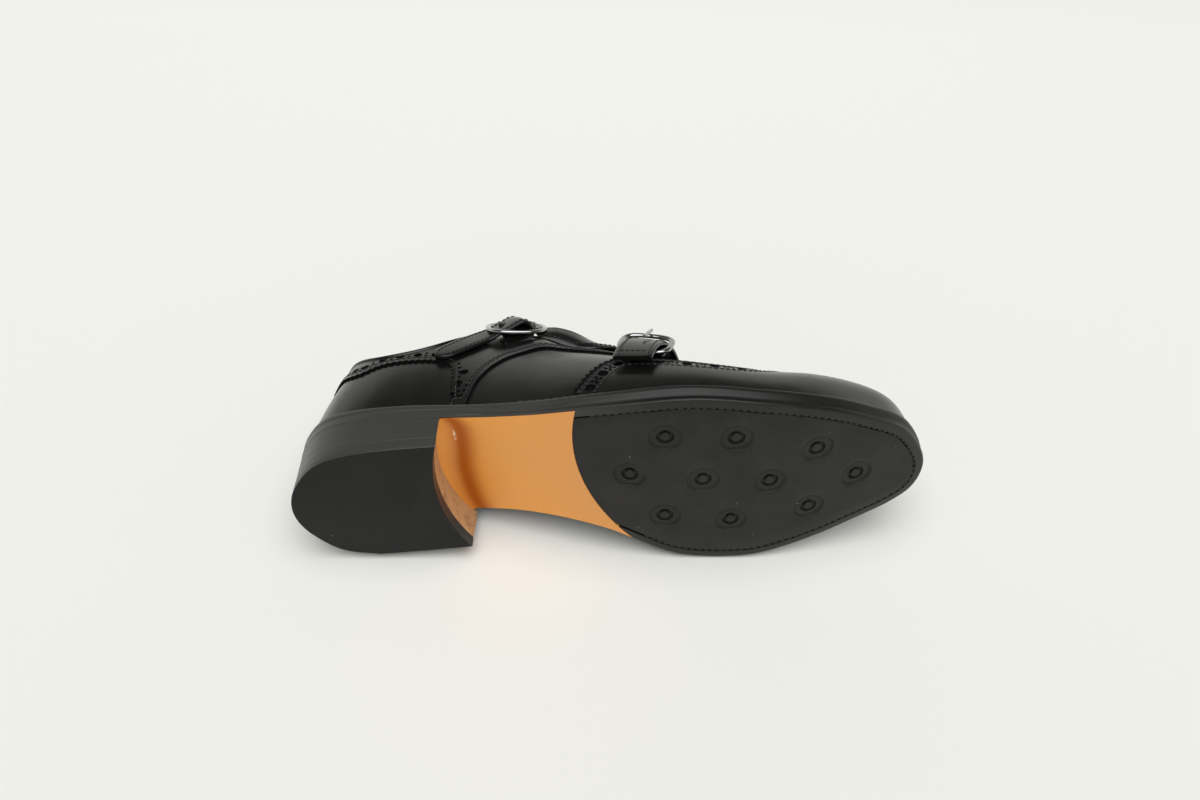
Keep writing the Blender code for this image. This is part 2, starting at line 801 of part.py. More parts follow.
def make_buckle(name, buckle, metal, centre_bar=False):
    """Wire frame with rounded corners, with a bar across its middle where the strap goes over one."""
    place = buckle_frame(buckle)
    corner = buckle.corner * MM
    half = Vector((buckle.along_strap / 2 * MM - WIRE - corner, buckle.across_strap / 2 * MM - WIRE - corner))
    steps = 6
    up = Vector((0, 0, 1))
    path = []
    for quarter, (sx, sy) in enumerate(((1, 1), (-1, 1), (-1, -1), (1, -1))):
        for step in range(steps + 1):
            angle = (quarter + step / steps) * math.pi / 2
            out = Vector((math.cos(angle), math.sin(angle), 0))
            path.append((Vector((sx * half.x, sy * half.y, 0)) + out * corner, out, up))
    points, faces = tube(path, WIRE, closed=True)
    frame = add_solid(name, [place @ point for point in points], faces, metal)
    if centre_bar:
        reach = half.y + corner
        ends = [(Vector((0, side * reach, 0)), Vector((1, 0, 0)), up) for side in (-1, 1)]
        points, faces = tube(ends, 0.8 * WIRE, closed=False)
        boolean(frame, add_solid(name + "_bar", [place @ point for point in points], faces), "UNION")
    return frame


def make_prong(name, buckle, metal):
    """Pin that comes out of the strap's hole and lies over the buckle's upper bar."""
    place = buckle_frame(buckle)
    bar = buckle.along_strap / 2 * MM - WIRE
    low = WIRE + GAP + PRONG
    side = Vector((0, 1, 0))
    spots = (Vector((-bar - 1.5 * MM, 0, low)), Vector((-bar, 0, low)), Vector((PRONG_BASE, 0, PRONG_LIFT)))
    path = [(spot, side, Vector((0, 0, 1))) for spot in spots]
    points, faces = tube(path, PRONG, closed=False)
    return add_solid(name, [place @ point for point in points], faces, metal)


def make_straps(leather, metal):
    make_strap("strap_front", STRAP_FRONT, STRAP, leather, 25)
    make_strap("strap_rear", STRAP_REAR, STRAP, leather, 31)
    make_strap("chape_front", CHAPE_FRONT, CHAPE, leather, 5)
    make_buckle("buckle_front", BUCKLE_FRONT, metal)
    make_buckle("buckle_rear", BUCKLE_REAR, metal, centre_bar=True)
    make_prong("prong_front", BUCKLE_FRONT, metal)


def middle_of(points, corners):
    """Volume of a closed mesh, and its centre."""
    a, b, c = (points[corners[:, k]] for k in range(3))
    volumes = np.einsum("ij,ij->i", a, np.cross(b, c)) / 6
    return volumes.sum(), (volumes[:, None] * (a + b + c) / 4).sum(axis=0) / volumes.sum()


def carries(face, middle):
    """True where the middle lies straight over this face of the hull."""
    corners = [vertex.co for vertex in face.verts]
    turned = corners[1:] + corners[:1]
    return all((b - a).cross(middle - a).dot(face.normal) >= 0 for a, b in zip(corners, turned))


def lie_down(shoe):
    """Rolls the shoe onto its medial side, on the face of its hull that carries its weight there."""
    graph = bpy.context.evaluated_depsgraph_get()
    hull = bmesh.new()
    weights = []
    for piece in shoe.children:
        if piece.hide_render:
            continue
        mesh = piece.evaluated_get(graph).to_mesh()
        mesh.calc_loop_triangles()
        points = np.array([vertex.co for vertex in mesh.vertices])
        weights.append(middle_of(points, np.array([face.vertices for face in mesh.loop_triangles])))
        for point in points:
            hull.verts.new(point)
    volume = sum(weight[0] for weight in weights)
    middle = Vector(sum(weight[0] * weight[1] for weight in weights) / volume)
    bmesh.ops.convex_hull(hull, input=hull.verts)
    hull.normal_update()
    seats = [face for face in hull.faces if face.normal.y > 0.5 and carries(face, middle)]
    seat = max(seats, key=lambda face: face.calc_area())
    roll = seat.normal.rotation_difference(Vector((0, 0, -1))).to_matrix().to_4x4()
    heading = roll @ Vector((1, 0, 0))
    roll = Matrix.Rotation(-math.atan2(heading.y, heading.x), 4, "Z") @ roll
    corners = [roll @ vertex.co for vertex in hull.verts]
    lowest = min(corner.z for corner in corners)
    centre = [(min(c[k] for c in corners) + max(c[k] for c in corners)) / 2 for k in (0, 1)]
    shoe.matrix_world = Matrix.Translation((-centre[0], -centre[1], -lowest)) @ roll
    hull.free()


def main():
    for item in list(bpy.data.objects):
        bpy.data.objects.remove(item, do_unlink=True)
    shoe = bpy.data.objects.new("shoe", None)
    bpy.context.scene.collection.objects.link(shoe)
    calf = material("black_calf", (0.012, 0.012, 0.011), 0.38)
    edge = material("black_edge", (0.014, 0.014, 0.013), 0.35)
    sole = material("tan_sole_leather", (0.62, 0.27, 0.08), 0.42)
    rubber = material("black_rubber", (0.035, 0.035, 0.033), 0.62)
    lining = material("lining_leather", (0.30, 0.17, 0.08), 0.6)
    metal = material("polished_steel", (0.62, 0.62, 0.62), 0.16, 1.0)
    make_sole(sole, edge, rubber)
    make_heel(edge, rubber)
    make_insole(lining)
    make_upper(calf)
    make_wing_cap(calf)
    make_facing("facing_lateral", -1, calf)
    make_facing("facing_medial", 1, calf)
    make_tongue(calf)
    make_straps(calf, metal)
    bpy.context.view_layer.update()
    lie_down(shoe)


main()
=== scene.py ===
"""Looks of a right shoe with two buckled straps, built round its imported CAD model.

The pieces are shaped on the standing shoe: x runs from heel to toe, +y is the medial side and z is up. They
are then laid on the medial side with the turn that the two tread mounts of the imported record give.
"""

import json
import math
from collections import namedtuple

import bpy
import numpy as np
from mathutils import Matrix, Vector


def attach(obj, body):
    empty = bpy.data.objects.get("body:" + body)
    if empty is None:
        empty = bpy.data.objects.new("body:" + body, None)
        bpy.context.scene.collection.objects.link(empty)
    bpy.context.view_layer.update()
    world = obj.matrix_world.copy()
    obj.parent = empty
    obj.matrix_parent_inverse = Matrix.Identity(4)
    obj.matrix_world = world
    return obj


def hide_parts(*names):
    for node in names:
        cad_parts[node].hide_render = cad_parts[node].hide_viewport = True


bl_info = {
    "name": "Buckled shoe",
    "version": (1, 0, 0),
    "blender": (4, 5, 0),
    "location": "View3D > Sidebar > Shoe",
    "description": "Dresses the packed model of a buckled shoe with leather, rubber, stitching and metal",
    "category": "Object",
}

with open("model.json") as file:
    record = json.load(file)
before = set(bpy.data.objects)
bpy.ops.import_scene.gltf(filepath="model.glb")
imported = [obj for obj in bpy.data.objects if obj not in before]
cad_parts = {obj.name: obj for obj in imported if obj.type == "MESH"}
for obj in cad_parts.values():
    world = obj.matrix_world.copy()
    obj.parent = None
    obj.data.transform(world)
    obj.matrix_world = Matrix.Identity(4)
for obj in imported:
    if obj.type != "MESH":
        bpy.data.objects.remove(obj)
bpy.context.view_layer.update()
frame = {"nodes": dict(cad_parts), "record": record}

MM = 0.001
GAP = 0.3 * MM
LENGTH = 258 * MM

# Outsole edge seen from above: distance of each side from the axis
Outline = namedtuple("Outline", "station lateral medial")
SOLE_OUTLINE = (
    Outline(0, 0.0, 0.0),
    Outline(5, 15.0, 14.5),
    Outline(15, 25.5, 24.5),
    Outline(30, 30.3, 29.0),
    Outline(48, 31.8, 29.0),
    Outline(66, 32.4, 25.6),
    Outline(95, 37.1, 21.0),
    Outline(125, 43.8, 24.8),
    Outline(155, 47.4, 39.2),
    Outline(185, 43.3, 42.6),
    Outline(210, 36.1, 37.4),
    Outline(231, 25.9, 30.6),
    Outline(247, 14.6, 25.1),
    Outline(254, 4.1, 20.5),
    Outline(258, -9.0, 9.0),
)

# Side view of the sole: underside, its extra rise at the medial edge, and edge height with the welt
Profile = namedtuple("Profile", "station bottom arch edge")
SOLE_PROFILE = (
    Profile(0, 23.4, 2.5, 7.0),
    Profile(30, 21.3, 2.5, 7.0),
    Profile(66, 18.7, 2.5, 7.0),
    Profile(91, 12.3, 1.6, 7.0),
    Profile(106, 8.3, 1.1, 7.2),
    Profile(122, 4.4, 0.6, 7.8),
    Profile(140, 1.2, 0.2, 8.2),
    Profile(158, 0.0, 0.0, 8.2),
    Profile(164, 0.0, 0.0, 8.2),
    Profile(176, 0.0, 0.0, 8.2),
    Profile(182, 0.0, 0.0, 8.2),
    Profile(200, 1.4, 0.0, 8.2),
    Profile(220, 4.6, 0.0, 8.2),
    Profile(240, 9.0, 0.0, 8.2),
    Profile(258, 13.7, 0.0, 8.2),
)
ARCH_REACH = 28 * MM

# Last: ridge height and its shift to the medial side, roundness of the section, ledge left on the welt
# and how far the side wall swells out over it
Last = namedtuple("Last", "station ridge shift fullness ledge swell")
LAST = (
    Last(0, 102, 0.0, 2.0, 1.6, -2.1),
    Last(40, 106, 0.0, 2.0, 1.6, 1.6),
    Last(75, 103, 1.0, 2.0, 1.4, 1.2),
    Last(95, 94.5, 3.0, 2.0, 1.4, 0.8),
    Last(115, 80.5, 5.0, 2.0, 1.8, 0.8),
    Last(135, 68, 5.0, 2.02, 2.6, 1.0),
    Last(155, 56.5, 4.5, 2.03, 3.0, 1.2),
    Last(175, 49, 4.0, 2.08, 3.0, 1.2),
    Last(195, 45, 4.5, 2.18, 3.0, 1.2),
    Last(212, 44.5, 6.0, 2.5, 2.8, 1.2),
    Last(232, 44.5, 8.0, 2.8, 2.4, 1.2),
    Last(258, 41, 9.0, 3.0, 2.2, 1.2),
)
# The lateral edge of the throat stands off the instep under the rear strap: place, reach and height
THROAT_FLARE = (98 * MM, 9 * MM, 2.6 * MM)
FLARE_START = 0.30
FLARE_FULL = 0.46
RIDGE_BACK = 36 * MM
RIDGE_FRONT = 241 * MM
SWELL_TOP = 0.75

# Top line of collar and throat, as heights
Opening = namedtuple("Opening", "station lateral medial")
OPENING = (
    Opening(0, 78.5, 78.5),
    Opening(7, 78.5, 78.5),
    Opening(14, 74, 74.5),
    Opening(22, 68.5, 69.5),
    Opening(32, 64, 66),
    Opening(44, 64, 66),
    Opening(54, 67.5, 68.5),
    Opening(66, 76, 74.5),
    Opening(76, 82.5, 80.5),
    Opening(85, 85, 86),
    Opening(94, 78, 90),
    Opening(103, 68, 85),
    Opening(112, 61, 79),
    Opening(124, 57, 71.5),
    Opening(133, 56, 67),
    Opening(141, 56.5, 62.8),
    Opening(148, 57.2, 59.8),
    Opening(154, 59, 59.5),
    Opening(162, 66, 66),
    Opening(258, 110, 110),
)

# Overlay edges on the last, as shares of the way from the welt to the ridge
Edge = namedtuple("Edge", "station rise")
WING_EDGE = (
    Edge(114, 0.005),
    Edge(116.8, 0.05),
    Edge(119.8, 0.108),
    Edge(123.5, 0.178),
    Edge(127.8, 0.246),
    Edge(132.6, 0.302),
    Edge(139, 0.33),
    Edge(147, 0.342),
    Edge(158, 0.348),
    Edge(168, 0.358),
    Edge(178, 0.385),
    Edge(188, 0.46),
    Edge(196, 0.60),
    Edge(203, 0.82),
    Edge(208, 1.00),
    Edge(258, 1.00),
)
FACING_EDGE = (
    Edge(0, 0.285),
    Edge(9, 0.272),
    Edge(16, 0.238),
    Edge(22, 0.226),
    Edge(29, 0.246),
    Edge(39, 0.255),
    Edge(48, 0.252),
    Edge(56, 0.244),
    Edge(61, 0.226),
    Edge(64, 0.195),
    Edge(65.8, 0.11),
    Edge(66.8, 0.0),
    Edge(72, 0.0),
    Edge(75, 0.105),
    Edge(78.5, 0.175),
    Edge(84, 0.25),
    Edge(91.5, 0.32),
    Edge(99, 0.375),
    Edge(108, 0.415),
    Edge(116, 0.445),
    Edge(124, 0.46),
    Edge(138, 0.48),
)
FOOT_DROP = 0.7 * MM
BAND_LEAST = 0.03
FACING_END = 136 * MM
LEG_BACK = 62 * MM
LEG_FRONT = 72 * MM

# Strap routes: place along the shoe, share across it from lateral (-1) to medial (+1), height off the last,
# width, the degrees by which the strap leans towards the ridge, and how far its edges curl down
Route = namedtuple("Route", "station across off width lean crown", defaults=(0, 0))
STRAP_FRONT = (
    Route(152, 0.60, 3.0, 16),
    Route(152, 0.36, 3.2, 16),
    Route(151, 0.12, 4.0, 16),
    Route(149, -0.14, 5.6, 16),
    Route(147, -0.33, 7.0, 16),
    Route(144.7, -0.47, 7.5, 16),
    Route(142.8, -0.57, 7.1, 16),
    Route(140.8, -0.675, 6.2, 16),
    Route(138.4, -0.80, 4.6, 16),
)
STRAP_REAR = (
    Route(122, 0.62, 1.8, 28),
    Route(122, 0.45, 2.6, 29),
    Route(121, 0.27, 4.4, 30),
    Route(120, 0.08, 7.0, 29),
    Route(117.5, -0.14, 8.8, 26, 8, 0.4),
    Route(112, -0.262, 8.0, 21, -4, 2.0),
    Route(105, -0.335, 7.5, 19, -18, 5.0),
    Route(99.5, -0.37, 6.2, 17.5, -20, 4.6),
    Route(95.2, -0.394, 4.9, 16, -18, 2.8),
    Route(91, -0.428, 5.9, 15.5, -8, 1.0),
    Route(87.6, -0.456, 8.0, 16.5, 0, 0.6),
    Route(83.9, -0.483, 9.2, 17, 0, 0.6),
    Route(78.6, -0.525, 5.8, 14.6),
    Route(72, -0.575, 2.8, 12.8),
    Route(64.5, -0.67, 2.4, 11.2),
    Route(55.5, -0.755, 2.3, 9),
)
CHAPE_FRONT = (
    Route(143.9, -0.47, 6.4, 17.5),
    Route(143.5, -0.505, 5.2, 17.5),
    Route(143.0, -0.545, 3.8, 17.5),
    Route(142.5, -0.585, 2.4, 17.5),
    Route(142.0, -0.62, 1.7, 17),
)
CHAPE_REAR = (
    Route(79.2, -0.391, 3.4, 14),
    Route(81.2, -0.431, 6.2, 16),
    Route(83.7, -0.474, 7.6, 17),
    Route(86.2, -0.513, 6.0, 16),
    Route(87.5, -0.542, 3.2, 14),
    Route(88.5, -0.572, 1.8, 12.5),
    Route(89.3, -0.605, 1.5, 12),
)

# Buckle frames: centre on the last, outside size along and across the strap, 2 for an oval and more for a
# squarer frame
Buckle = namedtuple("Buckle", "station across off tilt turn along_strap across_strap squareness roll")
BUCKLE_FRONT = Buckle(143.0, -0.575, 6.3, 0.44, -0.22, 17.0, 23.0, 3.3, 0.0)
BUCKLE_REAR = Buckle(83.7, -0.473, 5.2, 0.0, -1.13, 27.0, 23.5, 2.7, -0.06)
PRONG_BASE = 3.0 * MM
PRONG_LIFT = 4.4 * MM

# Rubber half sole: centre and radius of its rear edge, and the studs in rows on a slanted line
REAR_EDGE = (189 * MM, -24 * MM, 75 * MM)
Stud = namedtuple("Stud", "station across")
STUDS = (
    Stud(135.3, 0),
    Stud(149.1, -21.8),
    Stud(149.1, 21.8),
    Stud(164.1, 0),
    Stud(176.2, -22.8),
    Stud(176.2, 22.8),
    Stud(190.9, 0),
    Stud(208.6, -16.4),
    Stud(208.6, 16.4),
    Stud(227.1, 0),
)
STUD_LINE = (170 * MM, -4.7 * MM, 0.122)
Turned = namedtuple("Turned", "radius depth")
STUD_PROFILE = (
    Turned(0.0, 0.25),
    Turned(1.75, 0.25),
    Turned(2.0, 0.5),
    Turned(2.05, 1.45),
    Turned(3.05, 1.55),
    Turned(3.35, 1.2),
    Turned(3.45, 0.55),
    Turned(3.9, 0.42),
    Turned(5.2, 0.6),
    Turned(6.0, 0.72),
    Turned(6.4, 0.5),
    Turned(6.6, 0.14),
    Turned(7.0, 0.0),
    Turned(7.4, -0.1),
    Turned(8.0, -1.0),
    Turned(0.0, -1.0),
)

# Heel: centre and radius of the breast's hollow cut, and how far its medial front corner draws in
BREAST = (131 * MM, -9.5 * MM, 72 * MM)
HEEL_FRONT = 76 * MM
HEEL_TUCK = 2.2 * MM

# Fold of the waist leather in front of the heel
Fold = namedtuple("Fold", "side station")
WAIST_FOLD = (
    Fold(-33, 62.0),
    Fold(-30.6, 64.8),
    Fold(-28, 66.4),
    Fold(-22.8, 67.2),
    Fold(-16.7, 67.0),
    Fold(-3, 65.9),
    Fold(7.3, 66.3),
    Fold(17.8, 67.7),
    Fold(27, 70.6),
)

# Points of the standing shoe at which the record's two tread mounts sit
HEEL_TREAD = Vector((35 * MM, 0, 0))
FOREFOOT_TREAD = Vector((174 * MM, -4 * MM, 0))

# Camera fitted to the photograph, on the standing shoe
CAMERA_PLACE = Vector((125.16 * MM, -261.7 * MM, -247.81 * MM))
CAMERA_RIGHT = Vector((0.99829, 0.044, -0.03842))
CAMERA_DOWN = Vector((-0.05841, 0.75885, -0.64865))
CAMERA_LENS = 27.01

COLUMNS = 320


class ShoeSizes(bpy.types.PropertyGroup):
    """Sizes of the sewing, punching and edges."""

    wall: bpy.props.FloatProperty(
        name="Wall", description="Thickness of the upper with its lining",
        default=0.002, min=0.001, max=0.003, unit="LENGTH", precision=4)
    overlay: bpy.props.FloatProperty(
        name="Overlay", description="Height of toe piece and facings over the upper",
        default=0.0010, min=0.0005, max=0.002, unit="LENGTH", precision=4)
    gimp_pitch: bpy.props.FloatProperty(
        name="Scallop pitch", description="Distance between the scallops of the pinked edges",
        default=0.003, min=0.001, max=0.006, unit="LENGTH", precision=4)
    gimp_depth: bpy.props.FloatProperty(
        name="Scallop depth", description="How far the scallops of the pinked edges stand out",
        default=0.0012, min=0.0, max=0.002, unit="LENGTH", precision=4)
    punch: bpy.props.FloatProperty(
        name="Large punch", description="Diameter of the large punched holes",
        default=0.0038, min=0.001, max=0.006, unit="LENGTH", precision=4)
    pinhole: bpy.props.FloatProperty(
        name="Small punch", description="Diameter of the small punched holes",
        default=0.0013, min=0.0005, max=0.003, unit="LENGTH", precision=4)
    stitch: bpy.props.FloatProperty(
        name="Stitch", description="Distance from one stitch to the next",
        default=0.0024, min=0.001, max=0.006, unit="LENGTH", precision=4)
    thread: bpy.props.FloatProperty(
        name="Thread", description="Diameter of the sewing thread",
        default=0.0006, min=0.0002, max=0.002, unit="LENGTH", precision=4)
    strap: bpy.props.FloatProperty(
        name="Strap", description="Thickness of the straps",
        default=0.002, min=0.001, max=0.004, unit="LENGTH", precision=4)
    wire: bpy.props.FloatProperty(
        name="Buckle wire", description="Diameter of the buckles' wire",
        default=0.0022, min=0.001, max=0.004, unit="LENGTH", precision=4)
    groove: bpy.props.FloatProperty(
        name="Groove", description="Width of the groove between the sole's rim and the rubber",
        default=0.0009, min=0.0003, max=0.002, unit="LENGTH", precision=4)


class ShoeColours(bpy.types.PropertyGroup):
    """Colours of the finishes, as sRGB hex values."""

    calf: bpy.props.StringProperty(name="Calf", description="Black calf", default="#0a0a09")
    calf_worn: bpy.props.StringProperty(name="Calf light", description="Black calf where it is thin", default="#141413")
    edge: bpy.props.StringProperty(name="Edge", description="Inked leather edge", default="#10100f")
    # Painted light: lighter ink for the heel and waist edges, which face up into the light
    edge_painted_light: bpy.props.StringProperty(
        name="Edge painted light", description="Inked edge along heel and waist", default="#40403d")
    rubber: bpy.props.StringProperty(name="Rubber", description="Half sole", default="#10100f")
    dust: bpy.props.StringProperty(name="Dust", description="Dust on the rubber", default="#20201e")
    heel_rubber: bpy.props.StringProperty(name="Heel rubber", description="Heel top piece", default="#101110")
    waist_pale: bpy.props.StringProperty(name="Waist", description="Waist leather near the rubber", default="#e09a52")
    waist_deep: bpy.props.StringProperty(name="Waist deep", description="Waist leather at the fold", default="#f0a040")
    # Painted shade: darker colour for the hollow in front of the waist's fold
    waist_hollow_shade: bpy.props.StringProperty(
        name="Waist hollow shade", description="Waist leather in the hollow at the fold", default="#b35a06")
    raw: bpy.props.StringProperty(name="Raw leather", description="Cut face of the heel's lifts", default="#c79c6e")
    raw_dark: bpy.props.StringProperty(name="Raw leather dark", description="Stained raw leather", default="#8f6a45")
    lining: bpy.props.StringProperty(name="Lining", description="Lining and insole", default="#b58a5c")
    metal: bpy.props.StringProperty(name="Metal", description="Plated buckles", default="#a4a6a5")
    thread: bpy.props.StringProperty(name="Thread", description="Waxed thread", default="#1d1e1d")
    floor: bpy.props.StringProperty(name="Floor", description="Floor and backdrop", default="#eeeee9")


def smooth(knots, values, where):
    """Cubic through the knots, with each slope taken from the neighbours."""
    slopes = np.gradient(values, knots)
    place = np.clip(np.searchsorted(knots, where) - 1, 0, len(knots) - 2)
    width = knots[place + 1] - knots[place]
    t = np.clip((where - knots[place]) / width, 0.0, 1.0)
    start = values[place] * (1 + 2 * t) + slopes[place] * width * t
    end = values[place + 1] * (3 - 2 * t) - slopes[place + 1] * width * (1 - t)
    return start * (1 - t) ** 2 + end * t**2


def read(table, column, station, unit=MM):
    """Value of a table's column at a place along the shoe."""
    knots = np.array([row.station for row in table]) * MM
    values = np.array([getattr(row, column) for row in table]) * unit
    return smooth(knots, values, np.asarray(station, float))


def turn_at(station, side):
    """Angle round the outline at a station: 0 at the heel, pi at the toe, side -1 lateral, +1 medial."""
    turn = np.arccos(np.clip(1 - 2 * np.asarray(station, float) / LENGTH, -1, 1))
    return np.where(np.asarray(side) < 0, turn, 2 * math.pi - turn)


def closed_outline():
    """Knots of the outline as one closed curve: lateral side forward, medial side back."""
    stations = [row.station * MM for row in SOLE_OUTLINE]
    lateral = [(float(turn_at(s, -1)), -row.lateral * MM) for s, row in zip(stations, SOLE_OUTLINE)]
    medial = [(float(turn_at(s, 1)), row.medial * MM) for s, row in zip(stations, SOLE_OUTLINE)]
    loop = lateral + medial[-2:0:-1]
    before = [(turn - 2 * math.pi, side) for turn, side in loop[-3:]]
    after = [(turn + 2 * math.pi, side) for turn, side in loop[:3]]
    return np.array(before + loop + after).T


TURN_KNOTS, SIDE_KNOTS = closed_outline()


def sole_edge(turn, inset=0.0):
    """Plan of the sole's edge, moved inwards by the inset, with its outward direction."""
    turn = np.asarray(turn, float)
    step = 0.002
    x = LENGTH / 2 * (1 - np.cos(turn))
    y = smooth(TURN_KNOTS, SIDE_KNOTS, turn)
    ahead = smooth(TURN_KNOTS, SIDE_KNOTS, turn + step)
    behind = smooth(TURN_KNOTS, SIDE_KNOTS, turn - step)
    slope_x = LENGTH / 2 * np.sin(turn)
    slope_y = (ahead - behind) / (2 * step)
    size = np.hypot(slope_x, slope_y)
    out = np.stack([slope_y / size, -slope_x / size])
    return x - inset * out[0], y - inset * out[1], out


def bottom(x, y):
    """Underside of the sole, which is flat on the ground under the ball of the foot."""
    level = np.maximum(read(SOLE_PROFILE, "bottom", x), 0.0)
    return level + np.maximum(read(SOLE_PROFILE, "arch", x), 0.0) * y / ARCH_REACH


def sole_top(x, y):
    return bottom(x, y) + read(SOLE_PROFILE, "edge", x)


def column_turns(count, even=0.55):
    """Angles of the columns, part even in angle and part even along the edge, the same on both sides."""
    fine = np.linspace(0, math.pi, 400)
    lengths = []
    for turns in (fine, 2 * math.pi - fine):
        x, y, _ = sole_edge(turns)
        lengths.append(np.concatenate([[0], np.cumsum(np.hypot(np.diff(x), np.diff(y)))]))
    share = sum(length / length[-1] for length in lengths) / 2
    mixed = even * share + (1 - even) * fine / math.pi
    half = np.interp(np.linspace(0, 1, count // 2 + 1), mixed, fine)
    return np.concatenate([half, 2 * math.pi - half[-2:0:-1]])


TURNS = column_turns(COLUMNS)


def last(turn, rise):
    """Outside of the upper at an angle round the shoe and a share of the way from welt to ridge."""
    turn = np.asarray(turn, float)
    rise = np.asarray(rise, float)
    station = LENGTH / 2 * (1 - np.cos(turn))
    foot_x, foot_y, out = sole_edge(turn, read(LAST, "ledge", station))
    foot_z = sole_top(foot_x, foot_y) + GAP
    ridge_x = RIDGE_BACK + (RIDGE_FRONT - RIDGE_BACK) * station / LENGTH
    ridge_y = read(LAST, "shift", ridge_x)
    power = 2 / read(LAST, "fullness", station, 1.0)
    lean = 1 - np.cos(rise * math.pi / 2) ** power
    climb = np.sin(rise * math.pi / 2) ** power
    bulge = read(LAST, "swell", station) * np.sin(math.pi * np.minimum(rise / SWELL_TOP, 1))
    middle, reach, height = THROAT_FLARE
    climbing = np.clip((rise - FLARE_START) / (FLARE_FULL - FLARE_START), 0, 1)
    flare = height * np.exp(-(((station - middle) / reach) ** 2)) * climbing**2 * (3 - 2 * climbing)
    bulge = bulge + np.where(turn < math.pi, flare, 0.0)
    x = foot_x + (ridge_x - foot_x) * lean + out[0] * bulge
    y = foot_y + (ridge_y - foot_y) * lean + out[1] * bulge
    z = foot_z + (read(LAST, "ridge", x) - foot_z) * climb
    return np.stack([x, y, z], axis=-1)


def opening_rise(turn):
    """Share of the way up at which the top line cuts the last, or 1 where the vamp is closed."""
    column = "lateral" if turn <= math.pi else "medial"
    rises = np.linspace(0.1, 1, 400)
    points = last(np.full_like(rises, turn), rises)
    over = points[:, 2] - read(OPENING, column, points[:, 0])
    above = np.nonzero(over >= 0)[0]
    if len(above) == 0 or above[0] == 0:
        return 1.0
    first = above[0]
    share = over[first - 1] / (over[first - 1] - over[first])
    return rises[first - 1] + share * (rises[first] - rises[first - 1])


def opening_rises(turns):
    return np.array([opening_rise(turn) for turn in turns])


def on_last(station, across):
    """Point of the last at a share across it, from -1 at the lateral welt to +1 at the medial welt."""
    across = np.asarray(across, float)
    return last(turn_at(station, np.where(across < 0, -1, 1)), 1 - np.abs(across))


def out_of_last(station, across):
    """Outward direction of the last at such a point."""
    ahead = on_last(station + 1 * MM, across) - on_last(station - 1 * MM, across)
    across = np.asarray(across, float)
    sideways = on_last(station, np.minimum(across + 0.02, 1)) - on_last(station, np.maximum(across - 0.02, -1))
    normal = np.cross(ahead, sideways)
    return normal / np.linalg.norm(normal, axis=-1, keepdims=True)


def row_from_standing():
    """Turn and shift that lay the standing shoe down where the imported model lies."""
    mounts = {mount["name"]: mount for mount in frame["record"]["mounts"]}
    heel = Vector(mounts["heel_tread"]["pos_m"])
    forefoot = Vector(mounts["forefoot_tread"]["pos_m"])
    up = -Vector(mounts["heel_tread"]["axis"]).normalized()
    ahead = (forefoot - heel).normalized()
    lying = Matrix((ahead, up.cross(ahead), up)).transposed()
    flat = (FOREFOOT_TREAD - HEEL_TREAD).normalized()
    upright = Vector((0, 0, 1))
    standing = Matrix((flat, upright.cross(flat), upright)).transposed()
    turn = lying @ standing.transposed()
    return Matrix.Translation(heel - turn @ HEEL_TREAD) @ turn.to_4x4()


TO_ROW = row_from_standing()
ROW_TURN = np.array(TO_ROW.to_3x3())
ROW_SHIFT = np.array(TO_ROW.translation)


def lay(points):
    """Points of the standing shoe where they lie in the row."""
    return np.asarray(points) @ ROW_TURN.T + ROW_SHIFT


def sizes():
    return bpy.context.scene.shoe_sizes


def colours():
    return bpy.context.scene.shoe_colours


def linear(code):
    """Linear colour of an sRGB hex value."""
    parts = [int(code[k:k + 2], 16) / 255 for k in (1, 3, 5)]
    return (*[p / 12.92 if p <= 0.04045 else ((p + 0.055) / 1.055) ** 2.4 for p in parts], 1.0)


def add_node(tree, kind, settings=None, **links):
    """Node with its settings, and with each named input set to a value or linked to a socket."""
    made = tree.nodes.new(kind)
    for key, value in (settings or {}).items():
        setattr(made, key, value)
    for key, value in links.items():
        socket = made.inputs[int(key[1:])] if key[1:].isdigit() else made.inputs[key.replace("_", " ")]
        if isinstance(value, bpy.types.NodeSocket):
            tree.links.new(value, socket)
        else:
            socket.default_value = value
    return made


def new_finish(name, roughness, metallic=0.0, ior=1.5):
    """Material with a Principled shader, and its tree."""
    finish = bpy.data.materials.new(name)
    finish.use_nodes = True
    shader = finish.node_tree.nodes["Principled BSDF"]
    shader.inputs["Roughness"].default_value = roughness
    shader.inputs["Metallic"].default_value = metallic
    shader.inputs["IOR"].default_value = ior
    return finish, finish.node_tree, shader


